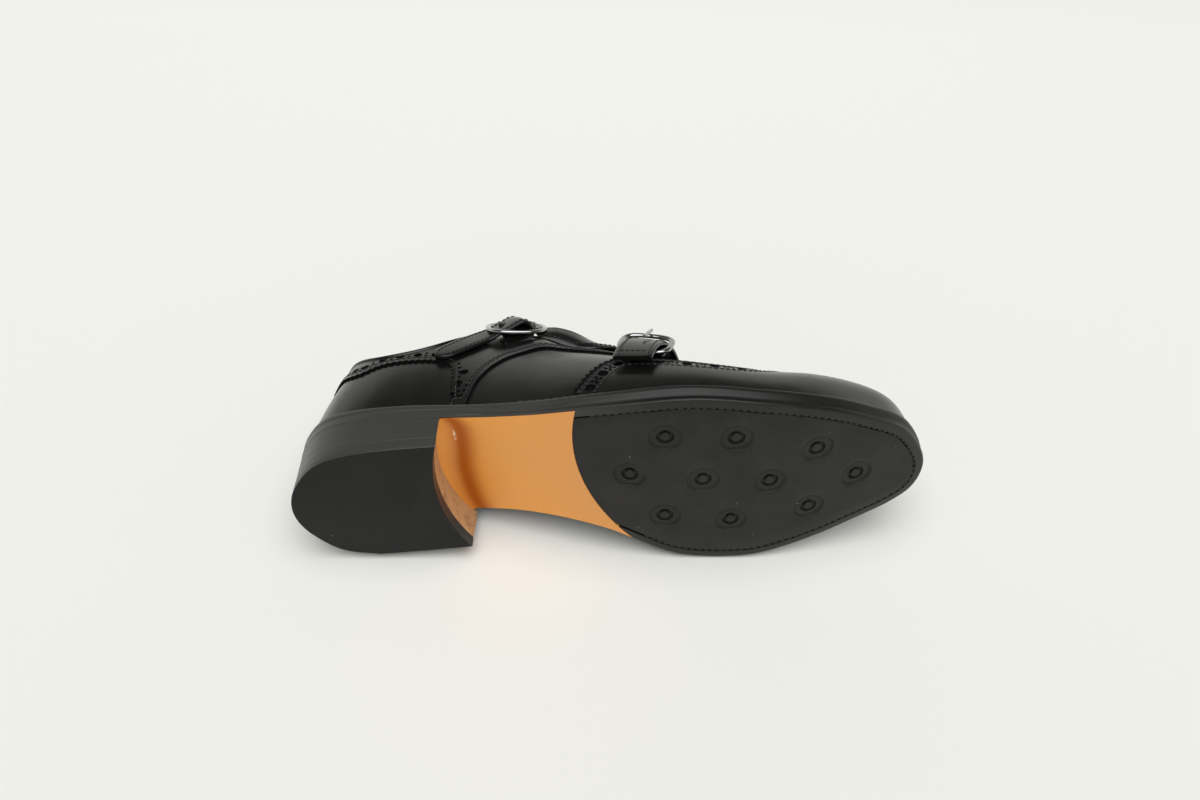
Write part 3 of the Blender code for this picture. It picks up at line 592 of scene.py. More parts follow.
def black_calf():
    """Glazed black calf: a smooth dyed skin with shallow pores, so it shows broad soft highlights."""
    finish, tree, shader = new_finish("glazed_black_calf", 0.36)
    where = add_node(tree, "ShaderNodeTexCoord").outputs["Object"]
    cloud = add_node(tree, "ShaderNodeTexNoise", Vector=where, Scale=38.0, Detail=4.0, Roughness=0.55)
    tone = add_node(tree, "ShaderNodeMix", {"data_type": "RGBA"}, Factor=cloud.outputs["Fac"],
                    i6=linear(colours().calf), i7=linear(colours().calf_worn))
    tree.links.new(tone.outputs[2], shader.inputs["Base Color"])
    gloss = add_node(tree, "ShaderNodeMapRange", Value=cloud.outputs["Fac"], i3=0.20, i4=0.30)
    tree.links.new(gloss.outputs["Result"], shader.inputs["Roughness"])
    # The pores of calf are about 0.2 mm apart; they are drawn at 0.6 mm, the finest that shows
    pores = add_node(tree, "ShaderNodeTexVoronoi", Vector=where, Scale=1 / (0.6 * MM))
    pull = add_node(tree, "ShaderNodeTexNoise", Vector=where, Scale=1 / (9 * MM), Detail=2.0)
    first = add_node(tree, "ShaderNodeBump", Height=pores.outputs["Distance"], Strength=0.05, Distance=0.0003)
    second = add_node(tree, "ShaderNodeBump", Height=pull.outputs["Fac"], Strength=0.05, Distance=0.002,
                      Normal=first.outputs["Normal"])
    tree.links.new(second.outputs["Normal"], shader.inputs["Normal"])
    shader.inputs["Specular IOR Level"].default_value = 0.43
    return finish


def inked_edge():
    """Sole edge, inked black and burnished with wax: a low gloss with faint streaks along the edge."""
    finish, tree, shader = new_finish("inked_sole_edge", 0.34)
    where = add_node(tree, "ShaderNodeTexCoord").outputs["Object"]
    turned = add_node(tree, "ShaderNodeMapping", Vector=where, Scale=(12.0, 900.0, 60.0))
    streak = add_node(tree, "ShaderNodeTexNoise", Vector=turned.outputs["Vector"], Scale=1.0, Detail=3.0)
    cloud = add_node(tree, "ShaderNodeTexNoise", Vector=where, Scale=60.0, Detail=3.0)
    # Painted light: the ink is painted a lighter dull grey along heel and waist, where the edge faces up into the
    # light, and stays deep round the forefoot
    along = add_node(tree, "ShaderNodeSeparateXYZ", Vector=where).outputs["X"]
    ahead = add_node(tree, "ShaderNodeMapRange", Value=along, i1=-0.035, i2=0.015)
    ink = add_node(tree, "ShaderNodeMix", {"data_type": "RGBA"}, Factor=ahead.outputs["Result"],
                   i6=linear(colours().edge_painted_light), i7=linear(colours().edge))
    faded = add_node(tree, "ShaderNodeMapRange", Value=cloud.outputs["Fac"], i3=0.0, i4=0.5)
    tone = add_node(tree, "ShaderNodeMix", {"data_type": "RGBA"}, Factor=faded.outputs["Result"],
                    i6=ink.outputs[2], i7=linear("#2b2b28"))
    tree.links.new(tone.outputs[2], shader.inputs["Base Color"])
    gloss = add_node(tree, "ShaderNodeMapRange", Value=streak.outputs["Fac"], i3=0.26, i4=0.46)
    tree.links.new(gloss.outputs["Result"], shader.inputs["Roughness"])
    bump = add_node(tree, "ShaderNodeBump", Height=streak.outputs["Fac"], Strength=0.10, Distance=0.0004)
    tree.links.new(bump.outputs["Normal"], shader.inputs["Normal"])
    shader.inputs["Specular IOR Level"].default_value = 0.32
    return finish


def moulded_rubber(name, colour, dust, roughness, gloss):
    """Moulded black rubber: matte and slightly grainy, with dust in patches and a few pale specks."""
    finish, tree, shader = new_finish(name, roughness)
    where = add_node(tree, "ShaderNodeTexCoord").outputs["Object"]
    cloud = add_node(tree, "ShaderNodeTexNoise", Vector=where, Scale=45.0, Detail=6.0, Roughness=0.65)
    patch = add_node(tree, "ShaderNodeMapRange", Value=cloud.outputs["Fac"], i1=0.40, i2=0.75)
    tone = add_node(tree, "ShaderNodeMix", {"data_type": "RGBA"}, Factor=patch.outputs["Result"],
                    i6=linear(colour), i7=linear(dust))
    specks = add_node(tree, "ShaderNodeTexVoronoi", Vector=where, Scale=1 / (11 * MM))
    dot = add_node(tree, "ShaderNodeMapRange", Value=specks.outputs["Distance"], i1=0.030, i2=0.022)
    marked = add_node(tree, "ShaderNodeMix", {"data_type": "RGBA"}, Factor=dot.outputs["Result"],
                      i6=tone.outputs[2], i7=linear("#6f6f69"))
    tree.links.new(marked.outputs[2], shader.inputs["Base Color"])
    # The mould's grain is about 0.15 mm; it is drawn at 0.5 mm so that it shows
    grain = add_node(tree, "ShaderNodeTexNoise", Vector=where, Scale=1 / (0.5 * MM), Detail=2.0)
    bump = add_node(tree, "ShaderNodeBump", Height=grain.outputs["Fac"], Strength=0.10, Distance=0.0003)
    tree.links.new(bump.outputs["Normal"], shader.inputs["Normal"])
    shader.inputs["Specular IOR Level"].default_value = gloss
    return finish


def waxed_sole_leather():
    """Vegetable-tanned sole leather under wax: warm tan, deeper towards the heel, with fine pores and a
    satin gloss. The fold in front of the heel is rubbed pale near its lateral end, and the hollow just in front
    of it is darkened with painted shade."""
    finish, tree, shader = new_finish("waxed_sole_leather", 0.38)
    where = add_node(tree, "ShaderNodeTexCoord").outputs["Object"]
    along = add_node(tree, "ShaderNodeAttribute", {"attribute_name": "along_waist"}).outputs["Fac"]
    rubbed = add_node(tree, "ShaderNodeAttribute", {"attribute_name": "rubbed"}).outputs["Fac"]
    hollow_shade = add_node(tree, "ShaderNodeAttribute", {"attribute_name": "hollow_shade"}).outputs["Fac"]
    cloud = add_node(tree, "ShaderNodeTexNoise", Vector=where, Scale=50.0, Detail=5.0, Roughness=0.6)
    shade = add_node(tree, "ShaderNodeMath", {"operation": "MULTIPLY_ADD"}, i0=cloud.outputs["Fac"], i1=0.5, i2=along)
    deep = add_node(tree, "ShaderNodeMapRange", Value=shade.outputs["Value"], i1=0.25, i2=1.25)
    tone = add_node(tree, "ShaderNodeMix", {"data_type": "RGBA"}, Factor=deep.outputs["Result"],
                    i6=linear(colours().waist_pale), i7=linear(colours().waist_deep))
    # Painted shade: the darker tone in the hollow just in front of the fold
    hollow_shaded = add_node(tree, "ShaderNodeMix", {"data_type": "RGBA"}, Factor=hollow_shade,
                      i6=tone.outputs[2], i7=linear(colours().waist_hollow_shade))
    pores = add_node(tree, "ShaderNodeTexNoise", Vector=where, Scale=1 / (0.9 * MM), Detail=3.0, Roughness=0.7)
    spot = add_node(tree, "ShaderNodeMapRange", Value=pores.outputs["Fac"], i1=0.60, i2=0.75, i3=0.0, i4=0.35)
    freckled = add_node(tree, "ShaderNodeMix", {"data_type": "RGBA"}, Factor=spot.outputs["Result"],
                        i6=hollow_shaded.outputs[2], i7=linear("#b0722f"))
    flakes = add_node(tree, "ShaderNodeTexNoise", Vector=where, Scale=1 / (1.2 * MM), Detail=3.0)
    worn = add_node(tree, "ShaderNodeMath", {"operation": "MULTIPLY_ADD"}, i0=flakes.outputs["Fac"], i1=0.9, i2=rubbed)
    pale = add_node(tree, "ShaderNodeMapRange", Value=worn.outputs["Value"], i1=1.15, i2=1.40)
    marked = add_node(tree, "ShaderNodeMix", {"data_type": "RGBA"}, Factor=pale.outputs["Result"],
                      i6=freckled.outputs[2], i7=linear("#f0dcc0"))
    tree.links.new(marked.outputs[2], shader.inputs["Base Color"])
    gloss = add_node(tree, "ShaderNodeMapRange", Value=cloud.outputs["Fac"], i3=0.30, i4=0.48)
    tree.links.new(gloss.outputs["Result"], shader.inputs["Roughness"])
    bump = add_node(tree, "ShaderNodeBump", Height=pores.outputs["Fac"], Strength=0.08, Distance=0.0003)
    tree.links.new(bump.outputs["Normal"], shader.inputs["Normal"])
    shader.inputs["Specular IOR Level"].default_value = 0.32
    shader.inputs["Coat Weight"].default_value = 0.06
    shader.inputs["Coat Roughness"].default_value = 0.3
    return finish


def raw_lift_leather():
    """Cut faces of the heel's leather lifts: pale and fibrous, matte."""
    finish, tree, shader = new_finish("raw_lift_leather", 0.78)
    where = add_node(tree, "ShaderNodeTexCoord").outputs["Object"]
    fibres = add_node(tree, "ShaderNodeTexNoise", Vector=where, Scale=1 / (1.0 * MM), Detail=5.0, Roughness=0.7)
    cloud = add_node(tree, "ShaderNodeTexNoise", Vector=where, Scale=1 / (7 * MM), Detail=4.0)
    shade = add_node(tree, "ShaderNodeMath", {"operation": "MULTIPLY"}, i0=fibres.outputs["Fac"],
                     i1=cloud.outputs["Fac"])
    dark = add_node(tree, "ShaderNodeMapRange", Value=shade.outputs["Value"], i1=0.24, i2=0.42)
    tone = add_node(tree, "ShaderNodeMix", {"data_type": "RGBA"}, Factor=dark.outputs["Result"],
                    i6=linear(colours().raw), i7=linear(colours().raw_dark))
    tree.links.new(tone.outputs[2], shader.inputs["Base Color"])
    bump = add_node(tree, "ShaderNodeBump", Height=fibres.outputs["Fac"], Strength=0.25, Distance=0.0004)
    tree.links.new(bump.outputs["Normal"], shader.inputs["Normal"])
    return finish


def lining_leather():
    """Thin tan lining skin: matte, with a soft grain."""
    finish, tree, shader = new_finish("tan_lining_leather", 0.62)
    where = add_node(tree, "ShaderNodeTexCoord").outputs["Object"]
    cloud = add_node(tree, "ShaderNodeTexNoise", Vector=where, Scale=40.0, Detail=4.0)
    tone = add_node(tree, "ShaderNodeMix", {"data_type": "RGBA"}, Factor=cloud.outputs["Fac"],
                    i6=linear(colours().lining), i7=linear("#9a7247"))
    tree.links.new(tone.outputs[2], shader.inputs["Base Color"])
    grain = add_node(tree, "ShaderNodeTexVoronoi", Vector=where, Scale=1 / (0.8 * MM))
    bump = add_node(tree, "ShaderNodeBump", Height=grain.outputs["Distance"], Strength=0.1, Distance=0.0003)
    tree.links.new(bump.outputs["Normal"], shader.inputs["Normal"])
    return finish


def plated_steel():
    """Bright plated steel wire: a polished metal with faint rubbing marks in its gloss."""
    finish, tree, shader = new_finish("plated_steel", 0.14, metallic=1.0)
    shader.inputs["Base Color"].default_value = linear(colours().metal)
    where = add_node(tree, "ShaderNodeTexCoord").outputs["Object"]
    rub = add_node(tree, "ShaderNodeTexNoise", Vector=where, Scale=1 / (2.5 * MM), Detail=4.0)
    gloss = add_node(tree, "ShaderNodeMapRange", Value=rub.outputs["Fac"], i3=0.07, i4=0.22)
    tree.links.new(gloss.outputs["Result"], shader.inputs["Roughness"])
    return finish


def waxed_thread():
    """Black waxed thread: twisted fibres with a dull sheen."""
    finish, tree, shader = new_finish("waxed_black_thread", 0.5)
    where = add_node(tree, "ShaderNodeTexCoord").outputs["Object"]
    twist = add_node(tree, "ShaderNodeTexNoise", Vector=where, Scale=1 / (0.4 * MM), Detail=2.0)
    tone = add_node(tree, "ShaderNodeMix", {"data_type": "RGBA"}, Factor=twist.outputs["Fac"],
                    i6=linear(colours().thread), i7=linear("#30312f"))
    tree.links.new(tone.outputs[2], shader.inputs["Base Color"])
    return finish


def punched_edge_and_shade():
    """Cut walls and backing of the punched holes: raw dyed leather that reflects almost nothing; the backing is kept
    darker than the calf beneath as painted shade in the holes.
    """
    finish, tree, shader = new_finish("punched_raw_edge_and_shade", 0.9)
    where = add_node(tree, "ShaderNodeTexCoord").outputs["Object"]
    fibres = add_node(tree, "ShaderNodeTexNoise", Vector=where, Scale=1 / (0.5 * MM), Detail=3.0)
    tone = add_node(tree, "ShaderNodeMix", {"data_type": "RGBA"}, Factor=fibres.outputs["Fac"],
                    i6=linear("#020202"), i7=linear("#0b0b0a"))
    tree.links.new(tone.outputs[2], shader.inputs["Base Color"])
    shader.inputs["Specular IOR Level"].default_value = 0.15
    return finish


FINISH_MAKERS = {
    "punched": punched_edge_and_shade,
    "calf": black_calf,
    "edge": inked_edge,
    "waist": waxed_sole_leather,
    "raw": raw_lift_leather,
    "lining": lining_leather,
    "metal": plated_steel,
    "thread": waxed_thread,
    "rubber": lambda: moulded_rubber("moulded_rubber", colours().rubber, colours().dust, 0.58, 0.36),
    "heel_rubber": lambda: moulded_rubber("heel_rubber", colours().heel_rubber, "#161716", 0.7, 0.32),
}
FINISHES = {}


def finish_of(key):
    if key not in FINISHES:
        FINISHES[key] = FINISH_MAKERS[key]()
    return FINISHES[key]


def start_mesh():
    """Deselects all, so that an operator acts on the new piece alone."""
    if bpy.context.object and bpy.context.object.mode != "OBJECT":
        bpy.ops.object.mode_set(mode="OBJECT")
    bpy.ops.object.select_all(action="DESELECT")


def hold(piece):
    start_mesh()
    piece.select_set(True)
    bpy.context.view_layer.objects.active = piece


def merge(piece, outward=True):
    """Closes seams and poles, and turns a closed mesh's faces outwards."""
    hold(piece)
    bpy.ops.object.mode_set(mode="EDIT")
    bpy.ops.mesh.select_all(action="SELECT")
    bpy.ops.mesh.remove_doubles(threshold=2e-6)
    bpy.ops.mesh.dissolve_degenerate(threshold=1e-7)
    if outward:
        bpy.ops.mesh.select_all(action="SELECT")
        bpy.ops.mesh.normals_make_consistent(inside=False)
    bpy.ops.object.mode_set(mode="OBJECT")


def flip(piece):
    hold(piece)
    bpy.ops.object.mode_set(mode="EDIT")
    bpy.ops.mesh.select_all(action="SELECT")
    bpy.ops.mesh.flip_normals()
    bpy.ops.object.mode_set(mode="OBJECT")


def loft(name, rows, around=False):
    """Grid stretched over rows of points on the standing shoe; the rows may run round and meet themselves."""
    rows = np.asarray(rows)
    if around:
        rows = np.concatenate([rows, rows[:, :1]], axis=1)
    levels, columns = rows.shape[:2]
    start_mesh()
    bpy.ops.mesh.primitive_grid_add(x_subdivisions=columns - 1, y_subdivisions=levels - 1, size=1.0)
    piece = bpy.context.object
    piece.name = name
    piece.data.name = name
    corners = np.empty(len(piece.data.vertices) * 3)
    piece.data.vertices.foreach_get("co", corners)
    corners = corners.reshape(-1, 3)
    column = np.rint((corners[:, 0] + 0.5) * (columns - 1)).astype(int)
    level = np.rint((corners[:, 1] + 0.5) * (levels - 1)).astype(int)
    piece.data.vertices.foreach_set("co", lay(rows[level, column]).ravel())
    piece.data.update()
    return piece


def modify(piece, kind, **settings):
    """Adds a modifier and applies it."""
    hold(piece)
    change = piece.modifiers.new(kind.lower(), kind)
    for key, value in settings.items():
        setattr(change, key, value)
    bpy.ops.object.modifier_apply(modifier=change.name)


def cut(piece, cutter, operation="DIFFERENCE"):
    """Boolean with a closed cutter, which is then removed."""
    modify(piece, "BOOLEAN", object=cutter, operation=operation, solver="MANIFOLD", material_mode="TRANSFER")
    bpy.data.objects.remove(cutter, do_unlink=True)


def fill_slots(piece, finishes):
    """Puts the finishes in a piece's material slots, in order."""
    slots = piece.data.materials
    for number, key in enumerate(finishes):
        if number < len(slots):
            slots[number] = finish_of(key)
        else:
            slots.append(finish_of(key))


def dress(piece, finishes, replaces=(), angle=38):
    """Gives a finished piece its materials and shading and makes it ride with the shoe."""
    fill_slots(piece, finishes)
    hold(piece)
    bpy.ops.object.shade_smooth_by_angle(angle=math.radians(angle))
    if replaces:
        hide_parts(*replaces)
    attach(piece, "root")
    return piece


def forward_share(turns):
    """0 along the heel and 1 from the waist on, for edges that are shaped only there."""
    share = np.clip((LENGTH / 2 * (1 - np.cos(turns)) - 58 * MM) / (40 * MM), 0, 1)
    return share * share * (3 - 2 * share)


def ring(inset, height, turns=TURNS):
    """Loop of points round the sole at an inset, each at the height its function gives."""
    x, y, _ = sole_edge(turns, inset)
    return np.stack([x, y, height(x, y)], axis=-1)


def spine(turns, inset, height):
    """Line down the middle of the sole that a flat loop closes on; both sides of the loop share it."""
    station = LENGTH / 2 * (1 - np.cos(turns))
    x = inset + (LENGTH - 2 * inset) * station / LENGTH
    left = smooth(TURN_KNOTS, SIDE_KNOTS, turn_at(x, -1))
    right = smooth(TURN_KNOTS, SIDE_KNOTS, turn_at(x, 1))
    y = (left + right) / 2
    return np.stack([x, y, height(x, y)], axis=-1)


def closing(loop, turns, inset, height, steps=5):
    """Rows that close a loop on the sole's middle line."""
    middle = spine(turns, inset, height)
    rows = []
    for share in np.linspace(0, 1, steps + 1)[1:]:
        spot = loop + (middle - loop) * share
        spot[:, 2] = height(spot[:, 0], spot[:, 1])
        rows.append(spot)
    return rows


def sole_solid(name, rings, turns=TURNS, inset=1.0 * MM):
    """Closed solid through loops given as (inset, height function), shut below and above."""
    loops = [ring(shift, height, turns) for shift, height in rings]
    below = closing(loops[0], turns, inset + float(np.mean(rings[0][0])), rings[0][1])
    above = closing(loops[-1], turns, inset + float(np.mean(rings[-1][0])), rings[-1][1])
    piece = loft(name, below[::-1] + loops + above, around=True)
    merge(piece)
    return piece


def over_bottom(lift):
    """Height function at a distance over the sole's underside."""
    return lambda x, y: bottom(x, y) + lift


def under_top(drop):
    """Height function at a distance under the welt's top."""
    return lambda x, y: sole_top(x, y) - drop


def rear_limit(name, clearance):
    """Upright block whose rear face is the curve at which the rubber starts."""
    x, y, radius = REAR_EDGE
    side = 60 * MM
    across = np.linspace(-side, side, 161)
    reach = np.sqrt(np.maximum(radius**2 - (across - y) ** 2, 0))
    back = np.stack([x - clearance - reach, across], axis=-1)
    front = np.stack([np.full_like(across, LENGTH + side), across], axis=-1)
    low, high = -12 * MM, 40 * MM
    rows = [np.column_stack([line, np.full(len(line), level)])
            for line, level in ((back, low), (back, high), (front, high), (front, low), (back, low))]
    piece = loft(name, rows)
    hold(piece)
    bpy.ops.object.mode_set(mode="EDIT")
    bpy.ops.mesh.select_all(action="SELECT")
    bpy.ops.mesh.remove_doubles(threshold=2e-6)
    bpy.ops.mesh.select_all(action="DESELECT")
    bpy.ops.mesh.select_non_manifold()
    bpy.ops.mesh.edge_face_add()
    bpy.ops.mesh.select_all(action="SELECT")
    bpy.ops.mesh.normals_make_consistent(inside=False)
    bpy.ops.object.mode_set(mode="OBJECT")
    return piece


class SHOE_OT_outsole(bpy.types.Operator):
    """Leather outsole: inked rim and side with a hollow line under the welt, and the pocket for the rubber"""

    bl_idname = "shoe.outsole"
    bl_label = "Outsole"

    def execute(self, context):
        forward = forward_share(TURNS)
        corner = (0.15 + 0.85 * forward) * MM
        rings = []
        for step in range(5):
            angle = step / 4 * math.pi / 2
            rings.append((corner * (1 - math.sin(angle)), over_bottom(corner * (1 - math.cos(angle)))))
        for share in np.linspace(0.12, 1, 9):
            hollow = (1.0 * math.sin(math.pi * share) - 0.45 * share**2) * MM * forward
            rings.append((hollow, lambda x, y, s=share: self.side_height(x, y, s, corner)))
        outsole = sole_solid("outsole_leather", rings)
        pocket = sole_solid("pocket", [(3.7 * MM, over_bottom(-6 * MM)), (3.7 * MM, over_bottom(2.2 * MM))])
        cut(pocket, rear_limit("pocket_limit", 0.5 * MM), "INTERSECT")
        cut(outsole, pocket)
        dress(outsole, ["edge"], ["outsole"])
        return {"FINISHED"}

    @staticmethod
    def side_height(x, y, share, corner):
        """Height of a line on the sole's side, from over the corner to under the welt."""
        low = bottom(x, y) + corner
        high = sole_top(x, y) - 2.9 * MM
        return low + (high - low) * share


class SHOE_OT_welt(bpy.types.Operator):
    """Welt with its rounded edge, and the sewing on its top"""

    bl_idname = "shoe.welt"
    bl_label = "Welt"

    def execute(self, context):
        Section = namedtuple("Section", "inset drop")
        section = (
            Section(0.3, 3.1), Section(-0.1, 2.7), Section(-0.4, 2.1), Section(-0.6, 1.4), Section(-0.65, 0.8),
            Section(-0.5, 0.3), Section(-0.05, 0.04), Section(0.5, 0.0), Section(3.5, 0.0), Section(7.5, 0.0),
            Section(7.5, 2.8), Section(3.0, 3.1),
        )
        forward = forward_share(TURNS)
        rows = []
        for spot in section:
            # On the medial side, which lies on the floor, the edge is less full
            bulge = (0.25 + 0.75 * forward) * np.where(TURNS > math.pi, 0.6, 1.0) if spot.inset < 0 else 1.0
            rows.append(ring(spot.inset * MM * bulge, under_top(spot.drop * MM)))
        welt = loft("welt_strip", rows + rows[:1], around=True)
        merge(welt)
        dress(welt, ["edge"], ["welt"])
        turns = TURNS[(TURNS > turn_at(92 * MM, -1)) & (TURNS < turn_at(92 * MM, 1))]
        fine = np.linspace(turns[0], turns[-1], 3000)
        station = LENGTH / 2 * (1 - np.cos(fine))
        x, y, out = sole_edge(fine, 0.55 * read(LAST, "ledge", station))
        path = np.stack([x, y, sole_top(x, y) + 0.1 * MM], axis=-1)
        up = np.tile((0.0, 0.0, 1.0), (len(path), 1))
        sew("welt_stitches", [(path, up)], pitch=3.6 * MM, thread=0.9 * MM)
        return {"FINISHED"}


class SHOE_OT_waist(bpy.types.Operator):
    """Waxed leather of the waist, from the rubber to the heel, with its fold"""

    bl_idname = "shoe.waist"
    bl_label = "Waist leather"

    def execute(self, context):
        margin = 0.75 * MM
        lift = 0.25 * MM
        across = np.linspace(0, 1, 61)
        stations = np.linspace(50 * MM, 150 * MM, 1200)
        lateral = smooth(TURN_KNOTS, SIDE_KNOTS, turn_at(stations, -1)) + margin
        medial = smooth(TURN_KNOTS, SIDE_KNOTS, turn_at(stations, 1)) - margin
        rows = []
        alongs = []
        for share in across:
            side = lateral + (medial - lateral) * share
            front = stations[self.crossing(stations - self.arc(REAR_EDGE, side) + 0.25 * MM)]
            back = stations[self.crossing(stations - self.arc(BREAST, side))]
            along = np.linspace(front, back - 0.3 * MM, 90)
            rows.append(np.stack([along, np.interp(along, stations, side)], axis=-1))
            alongs.append((front - along) / (front - back))
        plan = np.array(rows)
        x, y = plan[..., 0], plan[..., 1]
        fold_x = smooth(np.array([row.side for row in WAIST_FOLD]) * MM,
                        np.array([row.station for row in WAIST_FOLD]) * MM, y)
        behind = fold_x - x
        dip = 0.42 * (np.sqrt(behind**2 + (0.8 * MM) ** 2) + behind) / 2
        z = bottom(x, y) - lift - dip
        waist = loft("waist_leather", np.stack([x, y, z], axis=-1))
        rub = np.exp(-(((behind) / (0.9 * MM)) ** 2)) * np.exp(-(((y + 23 * MM) / (7 * MM)) ** 2))
        self.keep(waist, "along_waist", np.array(alongs))
        self.keep(waist, "rubbed", rub)
        # Painted shade: share of the darker hollow tone, greatest just in front of the fold
        self.keep(waist, "hollow_shade", np.exp(-(((behind + 2.5 * MM) / (5 * MM)) ** 2)))
        if waist.data.polygons[0].normal.dot(TO_ROW.to_3x3() @ Vector((0, 0, -1))) < 0:
            flip(waist)
        modify(waist, "SOLIDIFY", thickness=1.3 * MM, offset=-1.0, use_even_offset=True)
        dress(waist, ["waist"])
        return {"FINISHED"}

    @staticmethod
    def arc(curve, side):
        """Place along the shoe of a round cut at each place across it."""
        x, y, radius = curve
        return x - np.sqrt(np.maximum(radius**2 - (side - y) ** 2, 0))

    @staticmethod
    def crossing(values):
        return int(np.nonzero(values >= 0)[0][0])

    @staticmethod
    def keep(piece, name, grid):
        """Stores a value of each grid corner on the mesh."""
        levels, columns = grid.shape
        store = piece.data.attributes.new(name, "FLOAT", "POINT")
        order = np.arange(len(piece.data.vertices))
        store.data.foreach_set("value", grid[order // columns, order % columns].astype(np.float32))


class SHOE_OT_half_sole(bpy.types.Operator):
    """Rubber half sole with its turned studs"""

    bl_idname = "shoe.half_sole"
    bl_label = "Half sole"

    def execute(self, context):
        edge = 3.7 * MM + sizes().groove
        corner = 0.45 * MM
        waver = 0.10 * np.sin(23 * TURNS) + 0.07 * np.sin(41 * TURNS + 1) + 0.06 * np.sin(67 * TURNS + 2)
        edge = edge + waver * MM
        rings = [(edge + corner, over_bottom(0)), (edge + 0.3 * corner, over_bottom(0.3 * corner)),
                 (edge, over_bottom(corner)), (edge, over_bottom(2.1 * MM))]
        rubber = sole_solid("rubber_half_sole", rings)
        cut(rubber, rear_limit("rubber_limit", 0.0), "INTERSECT")
        cut(rubber, self.studs())
        dress(rubber, ["rubber"], ["half_sole"], angle=30)
        fine = np.linspace(float(turn_at(120 * MM, -1)), float(turn_at(137 * MM, 1)), 4000)
        x, y, _ = sole_edge(fine, 3.7 * MM + sizes().groove / 2)
        path = np.stack([x, y, bottom(x, y) + 0.5 * MM], axis=-1)
        down = np.tile((0.0, 0.0, -1.0), (len(path), 1))
        sew("groove_stitches", [(path, down)], pitch=3.0 * MM, thread=0.75 * MM, lift=0.0)
        return {"FINISHED"}

    @staticmethod
    def studs():
        """Cutters for the dishes and grooves, each turned from one profile and set square to the rubber."""
        middle, offset, slant = STUD_LINE
        angles = np.linspace(0, 2 * math.pi, 41)[:-1]
        profile = np.array([(max(row.radius, 1e-4), row.depth) for row in STUD_PROFILE]) * MM
        cutters = []
        for number, stud in enumerate(STUDS):
            x = stud.station * MM
            y = offset + slant * (x - middle) + stud.across * MM
            slope = float(bottom(x + MM, y) - bottom(x - MM, y)) / (2 * MM)
            place = Matrix.Translation((x, y, float(bottom(x, y)))) @ Matrix.Rotation(-math.atan(slope), 4, "Y")
            turn = np.array(place.to_3x3())
            rows = []
            for radius, depth in profile:
                circle = np.stack([radius * np.cos(angles), radius * np.sin(angles),
                                   np.full_like(angles, depth)], axis=-1)
                rows.append(circle @ turn.T + np.array(place.translation))
            cutter = loft("stud_cutter_%d" % number, rows, around=True)
            merge(cutter)
            cutters.append(cutter)
        return join(cutters)


def join(pieces):
    """Joins pieces into the first of them."""
    start_mesh()
    for piece in pieces:
        piece.select_set(True)
    bpy.context.view_layer.objects.active = pieces[0]
    bpy.ops.object.join()
    return bpy.context.object


class SHOE_OT_heel(bpy.types.Operator):
    """Heel of leather lifts with its bare breast, and the rubber top piece"""

    bl_idname = "shoe.heel"
    bl_label = "Heel"

    def execute(self, context):
        back = float(turn_at(HEEL_FRONT, -1))
        turns = np.linspace(-back, back, 161)
        station = LENGTH / 2 * (1 - np.cos(turns))
        tuck = np.where(turns < 0, HEEL_TUCK * (station / HEEL_FRONT) ** 2, 0.0)
        taper = 0.6 * MM
        top_piece = 5.5 * MM
        tread = 0.7 * MM

        def level(inset, height):
            return ring(inset + tuck, lambda x, y: np.full_like(x, height), turns)

        rubber_rows = [level(taper + tread, 0.0), level(taper + 0.3 * tread, 0.3 * tread), level(taper, tread),
                       level(taper - 0.05 * MM, top_piece - 0.15 * MM), level(taper + 0.15 * MM, top_piece)]
        stack_rows = [level(taper + 0.15 * MM, top_piece), level(taper - 0.05 * MM, top_piece + 0.2 * MM)]
        painted_back_light = (0.10, 0.3, 0.5, 0.7, 0.9)
        foot = level(taper, top_piece)
        head = ring(0.1 * MM + tuck / 2, lambda x, y: bottom(x, y) + 0.3 * MM, turns)
        for share in painted_back_light:
            rows = foot + (head - foot) * share
            stack_rows.append(rows)
        stack_rows.append(head)
        rubber = self.block("heel_rubber_piece", rubber_rows)
        stack = self.block("heel_lifts", stack_rows)
        for piece in (rubber, stack):
            cut(piece, self.breast())
        fill_slots(stack, ["edge", "raw"])
        centre = np.array(TO_ROW @ Vector((BREAST[0], BREAST[1], 0)))
        axis = np.array(TO_ROW.to_3x3() @ Vector((0, 0, 1)))
        for face in stack.data.polygons:
            spoke = np.array(face.center) - centre
            spoke -= axis * spoke.dot(axis)
            if abs(np.linalg.norm(spoke) - BREAST[2]) < 0.2 * MM:
                face.material_index = 1
        fill_slots(rubber, ["heel_rubber", "edge"])
        for face in rubber.data.polygons:
            if abs(np.array(face.normal).dot(axis)) < 0.5:
                face.material_index = 1
        dress(rubber, ["heel_rubber", "edge"], ["heel_top_piece"], angle=30)
        dress(stack, ["edge", "raw"], ["heel_stack"], angle=30)
        return {"FINISHED"}

    @staticmethod
    def block(name, rows):
        """Solid through rows that are open at the front, closed across from side to side."""
        piece = loft(name, rows, around=True)
        hold(piece)
        bpy.ops.object.mode_set(mode="EDIT")
        bpy.ops.mesh.select_all(action="SELECT")
        bpy.ops.mesh.remove_doubles(threshold=2e-6)
        bpy.ops.mesh.select_all(action="DESELECT")
        bpy.ops.mesh.select_non_manifold()
        bpy.ops.mesh.edge_face_add()
        bpy.ops.mesh.select_all(action="SELECT")
        bpy.ops.mesh.normals_make_consistent(inside=False)
        bpy.ops.object.mode_set(mode="OBJECT")
        return piece

    @staticmethod
    def breast():
        """Upright cylinder that hollows the heel's front."""
        start_mesh()
        x, y, radius = BREAST
        bpy.ops.mesh.primitive_cylinder_add(vertices=360, radius=radius, depth=0.1)
        cutter = bpy.context.object
        cutter.data.transform(TO_ROW @ Matrix.Translation((x, y, 0)))
        return cutter


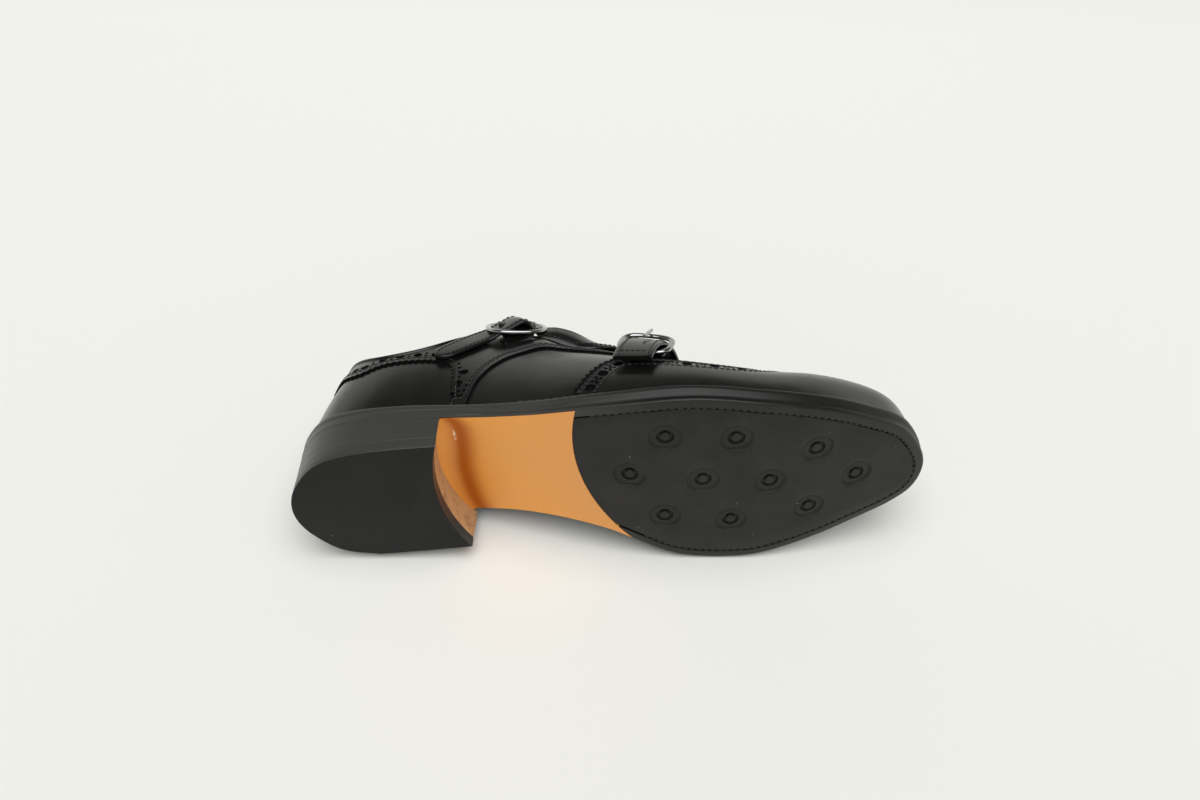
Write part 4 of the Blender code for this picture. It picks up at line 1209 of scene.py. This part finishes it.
class SHOE_OT_upper(bpy.types.Operator):
    """Calf upper with its lining, open at collar and throat"""

    bl_idname = "shoe.upper"
    bl_label = "Upper"

    def execute(self, context):
        tops = opening_rises(TURNS)
        foot = last(TURNS, np.zeros(COLUMNS))
        foot[:, 2] -= FOOT_DROP
        rows = [foot] + [last(TURNS, tops * share) for share in np.linspace(0, 1, 37)]
        upper = loft("calf_upper", rows, around=True)
        merge(upper)
        face_out(upper)
        fill_slots(upper, ["calf", "lining"])
        modify(upper, "SOLIDIFY", thickness=sizes().wall, offset=-1.0, material_offset=1, material_offset_rim=0)
        dress(upper, ["calf", "lining"], ["upper"], angle=50)
        return {"FINISHED"}


def face_out(piece):
    """Turns an open sheet's faces away from the shoe's inside."""
    inside = np.array(TO_ROW @ Vector((150 * MM, 0, 25 * MM)))
    axis = np.array(TO_ROW.to_3x3() @ Vector((1, 0, 0)))
    vote = 0.0
    for face in piece.data.polygons:
        spoke = np.array(face.center) - inside
        spoke -= axis * spoke.dot(axis)
        vote += face.area * np.array(face.normal).dot(spoke)
    if vote < 0:
        flip(piece)


def edge_push(rows, lengths, pitch, depth, fade):
    """Moves the last row out in the surface, in scallops."""
    edge = rows[-1]
    tangent = np.gradient(edge, axis=0)
    tangent /= np.maximum(np.linalg.norm(tangent, axis=1, keepdims=True), 1e-9)
    away = rows[-1] - rows[-3]
    away = away - tangent * np.sum(away * tangent, axis=1, keepdims=True)
    away /= np.maximum(np.linalg.norm(away, axis=1, keepdims=True), 1e-9)
    scallop = np.abs(np.sin(math.pi * lengths / pitch)) * depth * fade
    return edge + away * scallop[:, None]


def run(points):
    """Distance along a line of points."""
    return np.concatenate([[0], np.cumsum(np.linalg.norm(np.diff(points, axis=0), axis=1))])


def wing_stations(count):
    """Columns of the toe piece, the same on both sides, close together where its edge is steep."""
    stations = np.linspace(WING_EDGE[0].station * MM, LENGTH, 4000)
    mixed = np.zeros_like(stations)
    for side in (-1, 1):
        turns = turn_at(stations, side)
        edge = run(last(turns, wing_rise(stations)))
        foot = run(last(turns, np.zeros_like(stations)))
        mixed += 0.6 * edge / edge[-1] + 0.4 * foot / foot[-1]
    return np.interp(np.linspace(0, 2, count), mixed, stations)


def wing_rise(stations):
    return np.clip(read(WING_EDGE, "rise", stations, 1.0), 0.004, 1.0)


class SHOE_OT_wing_cap(bpy.types.Operator):
    """Toe piece with wings: scalloped edge, punched holes and sewing"""

    bl_idname = "shoe.wing_cap"
    bl_label = "Toe piece"

    def execute(self, context):
        one_side = wing_stations(560)
        stations = np.concatenate([one_side, one_side[-2::-1]])
        turns = np.concatenate([turn_at(one_side, -1), turn_at(one_side[-2::-1], 1)])
        highs = wing_rise(stations)
        rows = np.array([last(turns, highs * share) for share in np.linspace(0, 1, 22)])
        rows[0][:, 2] -= FOOT_DROP
        closed = highs > 0.9995
        lengths = run(rows[-1])
        fade = np.clip((stations - 114.5 * MM) / (2 * MM), 0, 1) * np.clip((0.97 - highs) / 0.1, 0, 1)
        rows[-1] = edge_push(rows, lengths, sizes().gimp_pitch, sizes().gimp_depth, fade)
        cap = loft("toe_piece", rows)
        merge(cap, outward=False)
        face_out(cap)
        modify(cap, "DISPLACE", strength=-0.2 * MM, mid_level=0.0)
        fill_slots(cap, ["calf", "punched"])
        self.ink_and_shade_scallops(cap, rows, ~closed)
        modify(cap, "SOLIDIFY", thickness=sizes().overlay + 0.2 * MM, offset=1.0, material_offset_rim=1)
        open_part = ~closed & (stations > 115.5 * MM)
        side_lines = [np.nonzero(open_part & (turns < math.pi))[0], np.nonzero(open_part & (turns > math.pi))[0]]
        large, small, seams = [], [], []
        for line in side_lines:
            edge = rows[-2][line]
            inner = rows[-6][line]
            frames = surface_frames(edge, inner, last_normals(turns[line], highs[line]))
            total = frames[0][-1]
            pitch = 10.2 * MM
            for start in np.arange(4 * MM, total - 3 * MM, pitch):
                large.append(spot(frames, start, 4.6 * MM))
                for shift, depth in ((0.36, 3.6), (0.36, 5.6), (0.5, 4.6), (0.64, 3.6), (0.64, 5.6)):
                    if start + shift * pitch < total - 2 * MM:
                        small.append(spot(frames, start + shift * pitch, depth * MM))
            for depth in (1.3, 2.4, 7.4):
                seams.append(seam_line(frames, depth * MM))
        punch(cap, large, sizes().punch)
        punch(cap, small + medallion(), sizes().pinhole)
        dress(cap, ["calf", "punched"], ["wing_cap"], angle=35)
        sew("toe_piece_stitches", seams, pitch=sizes().stitch, thread=sizes().thread)
        return {"FINISHED"}

    @staticmethod
    def ink_and_shade_scallops(cap, rows, open_edge):
        """Gives the outermost strip of the open edge the dark raw finish: edge ink, with painted shade along the
        scallops.
        """
        edge = lay((rows[-1] + rows[-2])[open_edge] / 2)
        reach = float(np.linalg.norm(rows[-1] - rows[-2], axis=1).max())
        for face in cap.data.polygons:
            if np.linalg.norm(edge - np.array(face.center), axis=1).min() < 0.35 * reach:
                face.material_index = 1


def last_normals(turns, rises):
    """Outward directions of the last."""
    rises = np.clip(rises, 0.02, 0.98)
    ahead = last(turns + 0.004, rises) - last(turns - 0.004, rises)
    climb = last(turns, rises + 0.01) - last(turns, rises - 0.01)
    normal = np.cross(ahead, climb)
    return normal / np.linalg.norm(normal, axis=1, keepdims=True)


def surface_frames(edge, inner, normals):
    """Line on the last with its lengths, the way in from the edge, and the outward directions."""
    tangent = np.gradient(edge, axis=0)
    tangent /= np.linalg.norm(tangent, axis=1, keepdims=True)
    away = inner - edge
    away -= tangent * np.sum(away * tangent, axis=1, keepdims=True)
    away -= normals * np.sum(away * normals, axis=1, keepdims=True)
    away /= np.maximum(np.linalg.norm(away, axis=1, keepdims=True), 1e-9)
    return run(edge), edge, away, normals


def at(frames, where):
    """Point, way in and outward direction at a distance along the line."""
    lengths, edge, away, normals = frames
    pick = [np.array([np.interp(where, lengths, part[:, k]) for k in range(3)]) for part in (edge, away, normals)]
    return pick[0], pick[1] / np.linalg.norm(pick[1]), pick[2] / np.linalg.norm(pick[2])


def spot(frames, where, depth):
    """Place of a punched hole: a point on the last and the outward direction there."""
    point, away, normal = at(frames, where)
    return settle(point + away * depth, normal)


def settle(point, normal):
    """Brings a point near the last onto it, with the outward direction there."""
    for _ in range(3):
        station, across = nearest_on_last(point)
        ground = on_last(station, across)
        normal = out_of_last(station, across)
        point = point - normal * float(np.dot(point - ground, normal))
    return point, normal


def nearest_on_last(point):
    """Station and share across of the last's point nearest to a point, by narrowing steps."""
    station = float(np.clip(point[0], 2 * MM, LENGTH - 3 * MM))
    side = -1 if point[1] < float(read(LAST, "shift", station)) else 1
    across = side * 0.6
    span_s, span_a = 26 * MM, 0.38
    for _ in range(5):
        stations = np.clip(np.linspace(station - span_s, station + span_s, 13), 1 * MM, LENGTH - 1 * MM)
        shares = np.clip(np.linspace(across - span_a, across + span_a, 13), -0.99, 0.99)
        grid_s, grid_a = np.meshgrid(stations, shares)
        gaps = np.linalg.norm(on_last(grid_s.ravel(), grid_a.ravel()) - point, axis=1)
        best = int(np.argmin(gaps))
        station, across = float(grid_s.ravel()[best]), float(grid_a.ravel()[best])
        span_s *= 0.22
        span_a *= 0.22
    return station, across


def seam_line(frames, depth):
    """Line of sewing at a depth in from the edge, brought down onto the last."""
    _, edge, away, normals = frames
    picked = np.unique(np.append(np.arange(0, len(edge), 6), len(edge) - 1))
    settled = [settle(edge[k] + away[k] * depth, normals[k]) for k in picked]
    return np.array([point for point, _ in settled]), np.array([normal for _, normal in settled])


def medallion():
    """Small punched holes in rings and a fan on the toe."""
    holes = []
    for radius, count in ((4.0, 8), (9.0, 14), (15.0, 20)):
        for k in range(count):
            angle = 2 * math.pi * k / count
            station = (226 + 0.75 * radius * math.cos(angle)) * MM
            across = 0.034 * radius * math.sin(angle)
            if radius > 10 and math.cos(angle) > 0.8:
                continue
            holes.append((on_last(station, across), out_of_last(station, across)))
    for side in (-1, 1):
        for station, rise in ((211.2, 0.39), (214.6, 0.354), (218.0, 0.334), (221.7, 0.326), (225.6, 0.345)):
            across = side * (1 - rise)
            holes.append((on_last(station * MM, across), out_of_last(station * MM, across)))
    return holes


def punch(piece, spots, diameter):
    """Cuts dished holes that stop short of the back."""
    Step = namedtuple("Step", "share height")
    outer = sizes().overlay
    profile = (Step(0.0, outer - 0.95 * MM), Step(0.92, outer - 0.95 * MM), Step(1.0, outer - 0.7 * MM),
               Step(1.0, outer - 0.2 * MM), Step(1.2, outer + 0.06 * MM), Step(1.22, outer + 0.9 * MM),
               Step(0.0, outer + 0.9 * MM))
    angles = np.linspace(0, 2 * math.pi, 17)[:-1]
    cutters = []
    rows_of = []
    for point, normal in spots:
        one = np.cross(normal, (0.3, 0.5, 0.8))
        one /= np.linalg.norm(one)
        two = np.cross(normal, one)
        rows = []
        for step in profile:
            radius = max(diameter / 2 * step.share, 1e-7)
            circle = np.outer(np.cos(angles), one) + np.outer(np.sin(angles), two)
            rows.append(point + circle * radius + normal * step.height)
        rows_of.append(rows)
    pattern = loft("punch_pattern", rows_of[0], around=True)
    merge(pattern)
    cutters = repeat("punches", pattern, spots_to_frames(spots, spots[0]))
    # Painted shade: the holes' walls and backing take the dark matte finish, which on the backing stands in for shade
    fill_slots(cutters, ["punched"])
    cut(piece, cutters)


def spots_to_frames(spots, first):
    """Turns and shifts that carry the first hole's cutter to each of the others."""
    def basis(point, normal):
        one = np.cross(normal, (0.3, 0.5, 0.8))
        one /= np.linalg.norm(one)
        return np.column_stack([one, np.cross(normal, one), normal])

    home = basis(*first)
    frames = []
    for point, normal in spots:
        turn = basis(point, normal) @ home.T
        frames.append((turn, point - turn @ first[0]))
    return frames


def repeat(name, pattern, frames):
    """One mesh with a copy of the pattern at each frame of the standing shoe; the pattern is then removed."""
    mesh = pattern.data
    points = np.empty(len(mesh.vertices) * 3)
    mesh.vertices.foreach_get("co", points)
    points = (points.reshape(-1, 3) - ROW_SHIFT) @ ROW_TURN
    faces = [list(face.vertices) for face in mesh.polygons]
    all_points = []
    all_faces = []
    for number, (turn, shift) in enumerate(frames):
        all_points.append(lay(points @ turn.T + shift))
        base = number * len(points)
        all_faces += [[base + corner for corner in face] for face in faces]
    made = bpy.data.meshes.new(name)
    made.from_pydata(np.concatenate(all_points).tolist(), [], all_faces)
    piece = bpy.data.objects.new(name, made)
    bpy.context.scene.collection.objects.link(piece)
    bpy.data.objects.remove(pattern, do_unlink=True)
    return piece


def sew(name, lines, pitch, thread, lift=None):
    """Rows of stitches, each a short rounded thread that dips in at both ends."""
    lift = sizes().overlay if lift is None else lift
    start_mesh()
    bpy.ops.mesh.primitive_uv_sphere_add(segments=8, ring_count=6, radius=1.0)
    pattern = bpy.context.object
    pattern.name = name + "_pattern"
    bpy.ops.object.mode_set(mode="EDIT")
    bpy.ops.mesh.select_all(action="SELECT")
    bpy.ops.transform.rotate(value=math.pi / 2, orient_axis="Y", center_override=(0, 0, 0))
    bpy.ops.transform.resize(value=(0.43 * pitch, 0.5 * thread, 0.45 * thread))
    bpy.ops.object.mode_set(mode="OBJECT")
    pattern.data.transform(TO_ROW)
    frames = []
    for path, normals in lines:
        lengths = run(path)
        for where in np.arange(pitch / 2, lengths[-1] - pitch / 2, pitch):
            point = np.array([np.interp(where, lengths, path[:, k]) for k in range(3)])
            ahead = np.array([np.interp(where + 0.2 * pitch, lengths, path[:, k]) for k in range(3)]) - point
            normal = np.array([np.interp(where, lengths, normals[:, k]) for k in range(3)])
            ahead /= np.linalg.norm(ahead)
            side = np.cross(normal, ahead)
            side /= np.linalg.norm(side)
            up = np.cross(ahead, side)
            frames.append((np.column_stack([ahead, side, up]), point + up * (lift + 0.12 * thread)))
    stitches = repeat(name, pattern, frames)
    dress(stitches, ["thread"], angle=60)
    return stitches


class SHOE_OT_facings(bpy.types.Operator):
    """Collar bands with their legs down to the welt: scalloped edge, punched holes, sewing"""

    bl_idname = "shoe.facings"
    bl_label = "Facings"

    def execute(self, context):
        for name, side in (("facing_lateral", -1), ("facing_medial", 1)):
            self.facing(name, side)
        return {"FINISHED"}

    def facing(self, name, side):
        fine = np.linspace(0.4 * MM, FACING_END, 4000)
        turns = turn_at(fine, side)
        lows = self.lows(fine, np.ones_like(fine))
        length = run(last(turns, lows))
        stations = np.interp(np.linspace(0, length[-1], 520), length, fine)
        turns = turn_at(stations, side)
        highs = opening_rises(turns)
        lows = self.lows(stations, highs)
        rows = np.array([last(turns, highs + (lows - highs) * share) for share in np.linspace(0, 1, 26)])
        lengths = run(rows[-1])
        rows[-1][lows < 0.004, 2] -= FOOT_DROP
        fade = np.where((stations < LEG_FRONT - 3 * MM) & (lows > 0.02), 0.8, 0.0)
        rows[-1] = edge_push(rows, lengths, sizes().gimp_pitch * 0.9, sizes().gimp_depth, fade)
        facing = loft(name + "_leather", rows)
        merge(facing, outward=False)
        face_out(facing)
        modify(facing, "DISPLACE", strength=-0.2 * MM, mid_level=0.0)
        fill_slots(facing, ["calf", "punched"])
        modify(facing, "SOLIDIFY", thickness=sizes().overlay + 0.2 * MM, offset=1.0, material_offset_rim=1)
        frames = surface_frames(rows[-2], rows[-6], last_normals(turns, lows))
        collar_end = float(np.interp(LEG_BACK - 5 * MM, stations, frames[0]))
        large, small, seams = [], [], []
        pitch = 7.4 * MM
        for start in np.arange(3.5 * MM, collar_end, pitch):
            large.append(spot(frames, start, 3.1 * MM))
            for depth in (2.2, 4.4):
                small.append(spot(frames, start + pitch / 2, depth * MM))
        for station, rise in ((66.5, 0.045), (68, 0.105), (69.5, 0.165)):
            across = side * (1 - rise)
            large.append((on_last(station * MM, across), out_of_last(station * MM, across)))
        leg = frames[0][(stations > LEG_BACK) & (stations < LEG_FRONT + 3 * MM)]
        for start in np.arange(leg[0], leg[-1], 3.2 * MM):
            small.append(spot(frames, start, 2.4 * MM))
        punch(facing, large, 0.85 * sizes().punch)
        punch(facing, small, sizes().pinhole)
        dress(facing, ["calf", "punched"], [name], angle=35)
        arch = (stations > LEG_FRONT + 2 * MM)
        behind = ~arch
        for pick, depths in ((behind, (1.2,)), (arch, (1.4, 2.6))):
            part = surface_frames(rows[-2][pick], rows[-6][pick], last_normals(turns[pick], lows[pick]))
            for depth in depths:
                seams.append(seam_line(part, depth * MM))
        sew(name + "_stitches", seams, pitch=sizes().stitch, thread=sizes().thread)

    @staticmethod
    def lows(stations, highs):
        low = np.maximum(read(FACING_EDGE, "rise", stations, 1.0), 0.0)
        return np.minimum(low, highs - BAND_LEAST)


class SHOE_OT_collar(bpy.types.Operator):
    """Rolled binding along collar and throat, and the tongue"""

    bl_idname = "shoe.collar"
    bl_label = "Collar binding and tongue"

    def execute(self, context):
        tops = opening_rises(TURNS)
        lateral = np.nonzero((tops < 0.999) & (TURNS <= math.pi))[0]
        medial = np.nonzero((tops < 0.999) & (TURNS > math.pi))[0]
        order = np.concatenate([medial, lateral])
        line = last(TURNS[order], tops[order] - 0.012)
        out = last_normals(TURNS[order], np.clip(tops[order], 0.05, 0.97))
        centre = line + out * 0.1 * MM
        binding = loft("collar_binding", tube_rows(centre, out, 1.6 * MM, 1.2 * MM))
        merge(binding)
        dress(binding, ["calf"], angle=60)
        tongue_rows = []
        for share in np.linspace(0.50, -0.62, 34):
            stations = np.linspace(98 * MM, 168 * MM, 40)
            tongue_rows.append(on_last(stations, np.full_like(stations, share)))
        tongue = loft("tongue_leather", np.array(tongue_rows))
        face_out(tongue)
        modify(tongue, "DISPLACE", strength=-4.6 * MM, mid_level=0.0)
        fill_slots(tongue, ["calf", "lining"])
        modify(tongue, "SOLIDIFY", thickness=1.8 * MM, offset=-1.0, material_offset=1, material_offset_rim=0)
        dress(tongue, ["calf", "lining"], ["tongue"], angle=50)
        insole = frame["nodes"]["insole"]
        insole.data.materials.clear()
        insole.data.materials.append(finish_of("lining"))
        return {"FINISHED"}


def tube_rows(centre, out, wide, high, sides=14):
    """Rows of a round or oval cord along a line, with its ends drawn together."""
    ahead = np.gradient(centre, axis=0)
    ahead /= np.linalg.norm(ahead, axis=1, keepdims=True)
    side = np.cross(out, ahead)
    side /= np.linalg.norm(side, axis=1, keepdims=True)
    up = np.cross(ahead, side)
    size = np.ones(len(centre))
    size[[0, -1]] = 1e-6
    rows = []
    for angle in np.linspace(0, 2 * math.pi, sides + 1):
        swing = up * math.cos(angle) * wide + side * math.sin(angle) * high
        rows.append(centre + swing * size[:, None])
    return np.array(rows)


def route_frames(route, count):
    """Places along a strap with its half width, its width direction and its outward direction."""
    knots = np.arange(len(route), dtype=float)
    where = np.linspace(0, len(route) - 1, count)
    station = smooth(knots, np.array([row.station for row in route]) * MM, where)
    across = smooth(knots, np.array([row.across for row in route], float), where)
    off = smooth(knots, np.array([row.off for row in route]) * MM, where)
    half = smooth(knots, np.array([row.width for row in route]) * MM / 2, where)
    lean = np.radians(smooth(knots, np.array([row.lean for row in route], float), where))[:, None]
    crown = np.maximum(smooth(knots, np.array([row.crown for row in route]) * MM, where), 0.0)
    normal = out_of_last(station, across)
    centre = on_last(station, across) + normal * off[:, None]
    ahead = np.gradient(centre, axis=0)
    ahead /= np.linalg.norm(ahead, axis=1, keepdims=True)
    side = np.cross(normal, ahead)
    side /= np.linalg.norm(side, axis=1, keepdims=True)
    out = np.cross(ahead, side)
    side, out = side * np.cos(lean) + out * np.sin(lean), out * np.cos(lean) - side * np.sin(lean)
    return centre, half, side, out, crown


class SHOE_OT_straps(bpy.types.Operator):
    """Two straps and the chape of the front buckle, with sewn borders"""

    bl_idname = "shoe.straps"
    bl_label = "Straps"

    def execute(self, context):
        self.strap("strap_front", STRAP_FRONT, sizes().strap, 130, 0.0, 0.45)
        self.strap("strap_rear", STRAP_REAR, sizes().strap, 200, 6.0 * MM, 0.45)
        self.strap("chape_front", CHAPE_FRONT, 1.0 * MM, 24, 0.0, None)
        self.strap("chape_rear", CHAPE_REAR, 1.2 * MM, 24, 0.0, None)
        return {"FINISHED"}

    def strap(self, node, route, thickness, count, tip, border):
        centre, half, side, out, crown = route_frames(route, count)
        lengths = run(centre)
        left = lengths[-1] - lengths
        if tip:
            half = half * np.sqrt(np.clip(1 - (1 - np.clip(left / tip, 0, 1)) ** 2, 0, 1))
        half = np.maximum(half, 0.15 * MM)
        angles = np.linspace(0, 2 * math.pi, 29)
        rows = []
        for angle in angles:
            wide = np.sign(math.cos(angle)) * abs(math.cos(angle)) ** 0.22
            high = np.sign(math.sin(angle)) * abs(math.sin(angle)) ** 0.7
            rows.append(centre + side * (half * wide)[:, None] + out * (high * thickness / 2 - crown * wide**2)[:, None])
        rows = np.array(rows)
        for end in (0, -1):
            near = 1 if end == 0 else -2
            middle = centre[end]
            shrunk = middle + (rows[:, end] - middle) * 1e-5
            ring_end = middle + (rows[:, end] - middle) * 0.97
            rows[:, end] = ring_end
            rows = np.concatenate([shrunk[:, None], rows] if end == 0 else [rows, shrunk[:, None]], axis=1)
        strap = loft(node + "_leather", rows)
        merge(strap)
        dress(strap, ["calf"], [node] if node in frame["nodes"] else (), angle=50)
        if border is None:
            return
        inset = 2.0 * MM
        lines = []
        for sign in (-1, 1):
            reach = np.maximum(half - inset, 0.4 * MM)
            path = centre + side * (sign * reach)[:, None] - out * (crown * (reach / half) ** 2)[:, None]
            lines.append((path, out))
        if not tip:
            end = len(centre) - 7
            steps = np.linspace(-1, 1, 14)
            path = centre[end] + side[end] * (half[end] - inset) * steps[:, None]
            lines.append((path, np.tile(out[end], (14, 1))))
        sew(node + "_stitches", lines, pitch=sizes().stitch * 0.9, thread=sizes().thread * 0.9, lift=thickness / 2)


def buckle_frame(buckle):
    """Place of a buckle: origin on its centre, x along the strap, y across it and z outwards."""
    station = buckle.station * MM
    normal = Vector(out_of_last(station, buckle.across))
    centre = Vector(on_last(station, buckle.across)) + normal * buckle.off * MM
    down = Vector(on_last(station, buckle.across - 0.05)) - Vector(on_last(station, buckle.across + 0.05))
    along = (down - normal * down.dot(normal)).normalized()
    across = normal.cross(along)
    place = Matrix((along, across, normal)).transposed().to_4x4()
    turn = Matrix.Rotation(buckle.turn, 4, "Z") @ Matrix.Rotation(buckle.tilt, 4, "Y")
    return Matrix.Translation(centre) @ place @ turn @ Matrix.Rotation(buckle.roll, 4, "X")


class SHOE_OT_buckles(bpy.types.Operator):
    """Wire frames of the two buckles, the rear one's centre bar and the front one's pin"""

    bl_idname = "shoe.buckles"
    bl_label = "Buckles"

    def execute(self, context):
        self.wire_frame("buckle_front", BUCKLE_FRONT, False)
        self.wire_frame("buckle_rear", BUCKLE_REAR, True)
        place = buckle_frame(BUCKLE_FRONT)
        bar = BUCKLE_FRONT.along_strap / 2 * MM - sizes().wire / 2
        low = sizes().wire / 2 + 0.3 * MM + 0.7 * MM
        spots = np.array([(-bar - 1.6 * MM, 0, low - 0.1 * MM), (-bar - 1.2 * MM, 0, low), (-bar, 0, low),
                          (-bar / 2, 0, low + 0.55 * (PRONG_LIFT - low)), (PRONG_BASE, 0, PRONG_LIFT)])
        rows = rod_rows(spots, (0, 1, 0), 0.7 * MM)
        pin = loft("front_pin", rows @ np.array(place.to_3x3()).T + np.array(place.translation))
        merge(pin)
        dress(pin, ["metal"], ["prong_front"], angle=60)
        return {"FINISHED"}

    @staticmethod
    def wire_frame(node, buckle, centre_bar):
        place = buckle_frame(buckle)
        radius = sizes().wire / 2
        half_x = buckle.along_strap / 2 * MM - radius
        half_y = buckle.across_strap / 2 * MM - radius
        turns = np.linspace(0, 2 * math.pi, 97)[:-1]
        round_x, round_y = (np.sign(wave) * np.abs(wave) ** (2 / buckle.squareness)
                            for wave in (np.cos(turns), np.sin(turns)))
        path = np.stack([half_x * round_x, half_y * round_y, np.zeros_like(turns)], axis=-1)
        ahead = np.roll(path, -1, axis=0) - np.roll(path, 1, axis=0)
        outs = np.stack([ahead[:, 1], -ahead[:, 0], ahead[:, 2]], axis=-1)
        outs /= np.linalg.norm(outs, axis=1, keepdims=True)
        rows = []
        for angle in np.linspace(0, 2 * math.pi, 17):
            rows.append(path + outs * math.cos(angle) * radius * 1.1 + np.array((0, 0, math.sin(angle) * radius * 0.85)))
        turn, shift = np.array(place.to_3x3()).T, np.array(place.translation)
        wire = loft(node + "_wire", np.array(rows) @ turn + shift, around=True)
        merge(wire)
        if centre_bar:
            reach = half_y
            spots = np.array([(0, -reach, 0), (0, -reach / 2, 0), (0, reach / 2, 0), (0, reach, 0)])
            bar = loft(node + "_bar", rod_rows(spots, (1, 0, 0), 0.8 * radius) @ turn + shift)
            merge(bar)
            wire = join([wire, bar])
        dress(wire, ["metal"], [node], angle=60)


def rod_rows(spots, side, radius, sides=12):
    """Rows of a round rod with drawn-in ends through a few points."""
    side = np.array(side, float)
    spots = np.concatenate([spots[:1], spots, spots[-1:]])
    ahead = np.gradient(spots, axis=0)
    ahead /= np.maximum(np.linalg.norm(ahead, axis=1, keepdims=True), 1e-12)
    up = np.cross(ahead, side)
    size = np.ones(len(spots))
    size[[0, -1]] = 1e-6
    rows = []
    for angle in np.linspace(0, 2 * math.pi, sides + 1):
        rows.append(spots + (up * math.cos(angle) + side * math.sin(angle)) * (radius * size)[:, None])
    return np.array(rows)


class SHOE_OT_stage(bpy.types.Operator):
    """Pale floor, soft studio light and the camera"""

    bl_idname = "shoe.stage"
    bl_label = "Stage"

    def execute(self, context):
        start_mesh()
        bpy.ops.mesh.primitive_plane_add(size=8.0, location=(0, 0, 0))
        floor = bpy.context.object
        floor.name = "floor"
        finish, tree, shader = new_finish("matte_paper_floor", 0.85)
        where = add_node(tree, "ShaderNodeTexCoord").outputs["Object"]
        # Painted light: the floor is painted a little brighter towards the back
        back = add_node(tree, "ShaderNodeSeparateXYZ", Vector=where).outputs["Y"]
        painted_back_light = add_node(tree, "ShaderNodeMapRange", Value=back, i1=-0.35, i2=0.55)
        tone = add_node(tree, "ShaderNodeMix", {"data_type": "RGBA"}, Factor=painted_back_light.outputs["Result"],
                        i6=linear(colours().floor), i7=linear("#fffffb"))
        tree.links.new(tone.outputs[2], shader.inputs["Base Color"])
        floor.data.materials.append(finish)
        self.soft_light("overhead_softbox", (0.0, -1.2, 4.4), (0.0, 0.0, 0.0), 5.4, 218.0)
        world = bpy.data.worlds.new("pale_room")
        world.use_nodes = True
        room = world.node_tree
        sky = room.nodes["Background"]
        sky.inputs["Color"].default_value = linear("#f7f7f2")
        # White paper stands round the shoe up to about 25 degrees, with a dim ceiling over it
        look = add_node(room, "ShaderNodeTexCoord").outputs["Generated"]
        climb = add_node(room, "ShaderNodeSeparateXYZ", Vector=look).outputs["Z"]
        paper = add_node(room, "ShaderNodeMapRange", {"interpolation_type": "SMOOTHSTEP"}, Value=climb,
                         i1=0.27, i2=0.46, i3=0.92, i4=0.12)
        room.links.new(paper.outputs["Result"], sky.inputs["Strength"])
        context.scene.world = world
        context.scene.view_settings.view_transform = "Standard"
        self.camera()
        return {"FINISHED"}

    @staticmethod
    def soft_light(name, place, target, size, power):
        start_mesh()
        bpy.ops.object.light_add(type="AREA", location=place)
        lamp = bpy.context.object
        lamp.name = name
        lamp.data.shape = "DISK"
        lamp.data.size = size
        lamp.data.energy = power
        aim = Vector(target) - Vector(place)
        lamp.rotation_euler = aim.to_track_quat("-Z", "Y").to_euler()

    @staticmethod
    def camera():
        start_mesh()
        bpy.ops.object.camera_add()
        camera = bpy.context.object
        camera.name = "photo_camera"
        down = CAMERA_DOWN.normalized()
        right = (CAMERA_RIGHT - down * CAMERA_RIGHT.dot(down)).normalized()
        back = right.cross(-down)
        seat = Matrix((right, -down, back)).transposed().to_4x4()
        camera.matrix_world = TO_ROW @ Matrix.Translation(CAMERA_PLACE) @ seat
        camera.data.sensor_width = 36.0
        camera.data.lens = CAMERA_LENS
        camera.data.clip_start = 0.01
        bpy.context.scene.camera = camera


class SHOE_PT_panel(bpy.types.Panel):
    """Lists the shoe's pieces and sizes"""

    bl_idname = "SHOE_PT_panel"
    bl_label = "Buckled shoe"
    bl_space_type = "VIEW_3D"
    bl_region_type = "UI"
    bl_category = "Shoe"

    def draw(self, context):
        for piece in PIECES:
            self.layout.operator(piece.bl_idname)
        for name in ShoeSizes.__annotations__:
            self.layout.prop(context.scene.shoe_sizes, name)
        for name in ShoeColours.__annotations__:
            self.layout.prop(context.scene.shoe_colours, name)


PIECES = (
    SHOE_OT_stage,
    SHOE_OT_outsole,
    SHOE_OT_welt,
    SHOE_OT_waist,
    SHOE_OT_half_sole,
    SHOE_OT_heel,
    SHOE_OT_upper,
    SHOE_OT_wing_cap,
    SHOE_OT_facings,
    SHOE_OT_collar,
    SHOE_OT_straps,
    SHOE_OT_buckles,
)
CLASSES = (ShoeSizes, ShoeColours, *PIECES, SHOE_PT_panel)


def register():
    for kind in CLASSES:
        bpy.utils.register_class(kind)
    bpy.types.Scene.shoe_sizes = bpy.props.PointerProperty(type=ShoeSizes)
    bpy.types.Scene.shoe_colours = bpy.props.PointerProperty(type=ShoeColours)


def unregister():
    del bpy.types.Scene.shoe_colours
    del bpy.types.Scene.shoe_sizes
    for kind in reversed(CLASSES):
        bpy.utils.unregister_class(kind)


def main():
    """Makes every piece in order."""
    register()
    bpy.ops.shoe.stage()
    bpy.ops.shoe.outsole()
    bpy.ops.shoe.welt()
    bpy.ops.shoe.waist()
    bpy.ops.shoe.half_sole()
    bpy.ops.shoe.heel()
    bpy.ops.shoe.upper()
    bpy.ops.shoe.wing_cap()
    bpy.ops.shoe.facings()
    bpy.ops.shoe.collar()
    bpy.ops.shoe.straps()
    bpy.ops.shoe.buckles()


if __name__ == "__main__":
    main()
